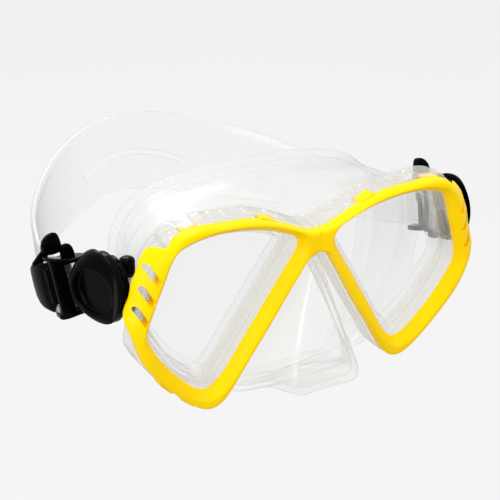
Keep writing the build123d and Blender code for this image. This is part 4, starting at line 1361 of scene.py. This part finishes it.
# ---------------------------------------------------------------------------
# Studio
# ---------------------------------------------------------------------------
def build_studio():
    lo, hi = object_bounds()
    floor_z = lo.z / MM - 100.0      # clear of the strap when it swings down
    fl = make("floor", [(-6000, -6000, floor_z), (6000, -6000, floor_z), (6000, 6000, floor_z), (-6000, 6000, floor_z)], [(0, 1, 2, 3)], None)
    m, nt, out = material("floor")
    lp = node(nt, "LightPath")
    glow = node(nt, "MapRange")
    glow.inputs["To Min"].default_value = 0.52
    glow.inputs["To Max"].default_value = 0.854
    link(nt, lp, "Is Camera Ray", glow, "Value")
    e = node(nt, "Emission")
    e.inputs["Color"].default_value = (0.905, 0.905, 0.905, 1)
    link(nt, glow, "Result", e, "Strength")
    d = node(nt, "BsdfDiffuse")
    v = coords(nt)
    n = noise(nt, v, 3, 2)
    c = ramp(nt, n, "Fac", (0.098,) * 3, (0.102,) * 3)
    link(nt, c, "Color", d, "Color")
    a = node(nt, "AddShader")
    link(nt, e, "Emission", a, 0)
    link(nt, d, "BSDF", a, 1)
    link(nt, a, "Shader", out, "Surface")
    paint(fl, m)

    # a white room for what is lit and seen, with darker walls for what is mirrored
    w = bpy.data.worlds.new("studio")
    SCENE.world = w
    w.use_nodes = True
    nt = w.node_tree
    nt.nodes.clear()
    out = nt.nodes.new("ShaderNodeOutputWorld")
    lp = node(nt, "LightPath")
    bg = node(nt, "Background", Strength=1.0)
    bg.inputs["Color"].default_value = (0.896, 0.896, 0.896, 1)
    tc = node(nt, "TexCoord")
    sep = node(nt, "SeparateXYZ")
    link(nt, tc, "Generated", sep, "Vector")
    r = ramp(nt, sep, "Z", (0.52, 0.52, 0.53), (0.92, 0.92, 0.92), 0.05, 0.95)
    dark = node(nt, "Background", Strength=1.0)
    link(nt, r, "Color", dark, "Color")
    lit = node(nt, "Background", Strength=1.0)
    lit.inputs["Color"].default_value = (1.03, 1.03, 1.03, 1)
    m0 = node(nt, "MixShader")
    link(nt, lp, "Is Camera Ray", m0, "Fac")
    link(nt, lit, "Background", m0, 1)
    link(nt, bg, "Background", m0, 2)
    mx = node(nt, "MixShader")
    link(nt, lp, "Is Glossy Ray", mx, "Fac")
    link(nt, m0, "Shader", mx, 1)
    link(nt, dark, "Background", mx, 2)
    link(nt, mx, "Shader", out, "Surface")

    def area(name, pos, target, size, power, size_y=None, colour=(1, 1, 1)):
        d = bpy.data.lights.new(name, "AREA")
        d.shape, d.size, d.size_y = "RECTANGLE", size * MM, (size_y or size) * MM
        d.energy, d.color = power, colour
        o = bpy.data.objects.new(name, d)
        SCENE.collection.objects.link(o)
        p, t = Vector(pos) * MM, Vector(target) * MM
        o.matrix_world = Matrix.Translation(p) @ (t - p).to_track_quat("-Z", "Y").to_matrix().to_4x4()
        o.visible_camera = False
        return o

    area("key", (-300, -420, 520), (0, -20, 0), 230, 0.8, 170)
    area("fill", (520, -300, 260), (0, -20, 0), 120, 0.35, 260)
    area("back", (100, 520, 420), (0, 40, 0), 260, 0.9, 160)
    area("top", (-40, 60, 640), (0, 10, 0), 300, 0.9, 120)
    area("side", (-560, -260, 60), (-60, -30, 0), 260, 0.95, 220)


def build_camera():
    d = bpy.data.cameras.new("camera")
    d.sensor_width, d.sensor_height, d.lens = 36.0, 36.0, 93.6
    d.clip_start, d.clip_end = 0.01, 50
    o = bpy.data.objects.new("camera", d)
    SCENE.collection.objects.link(o)
    r, u, f = Vector((0.84981, -0.52708, 0)), Vector((0.19530, 0.31488, 0.92882)), Vector((0.48956, 0.78932, -0.37053))
    m = Matrix((r, u, -f)).transposed().to_4x4()
    m.translation = Vector((-241.865, -387.724, 184.083)) * MM
    o.matrix_world = m
    SCENE.camera = o


SCENE.cycles.transparent_max_bounces = 64
SCENE.cycles.max_bounces = 16
build_studio()
build_camera()
SCENE.view_settings.view_transform = "Standard"
SCENE.view_settings.look = "None"
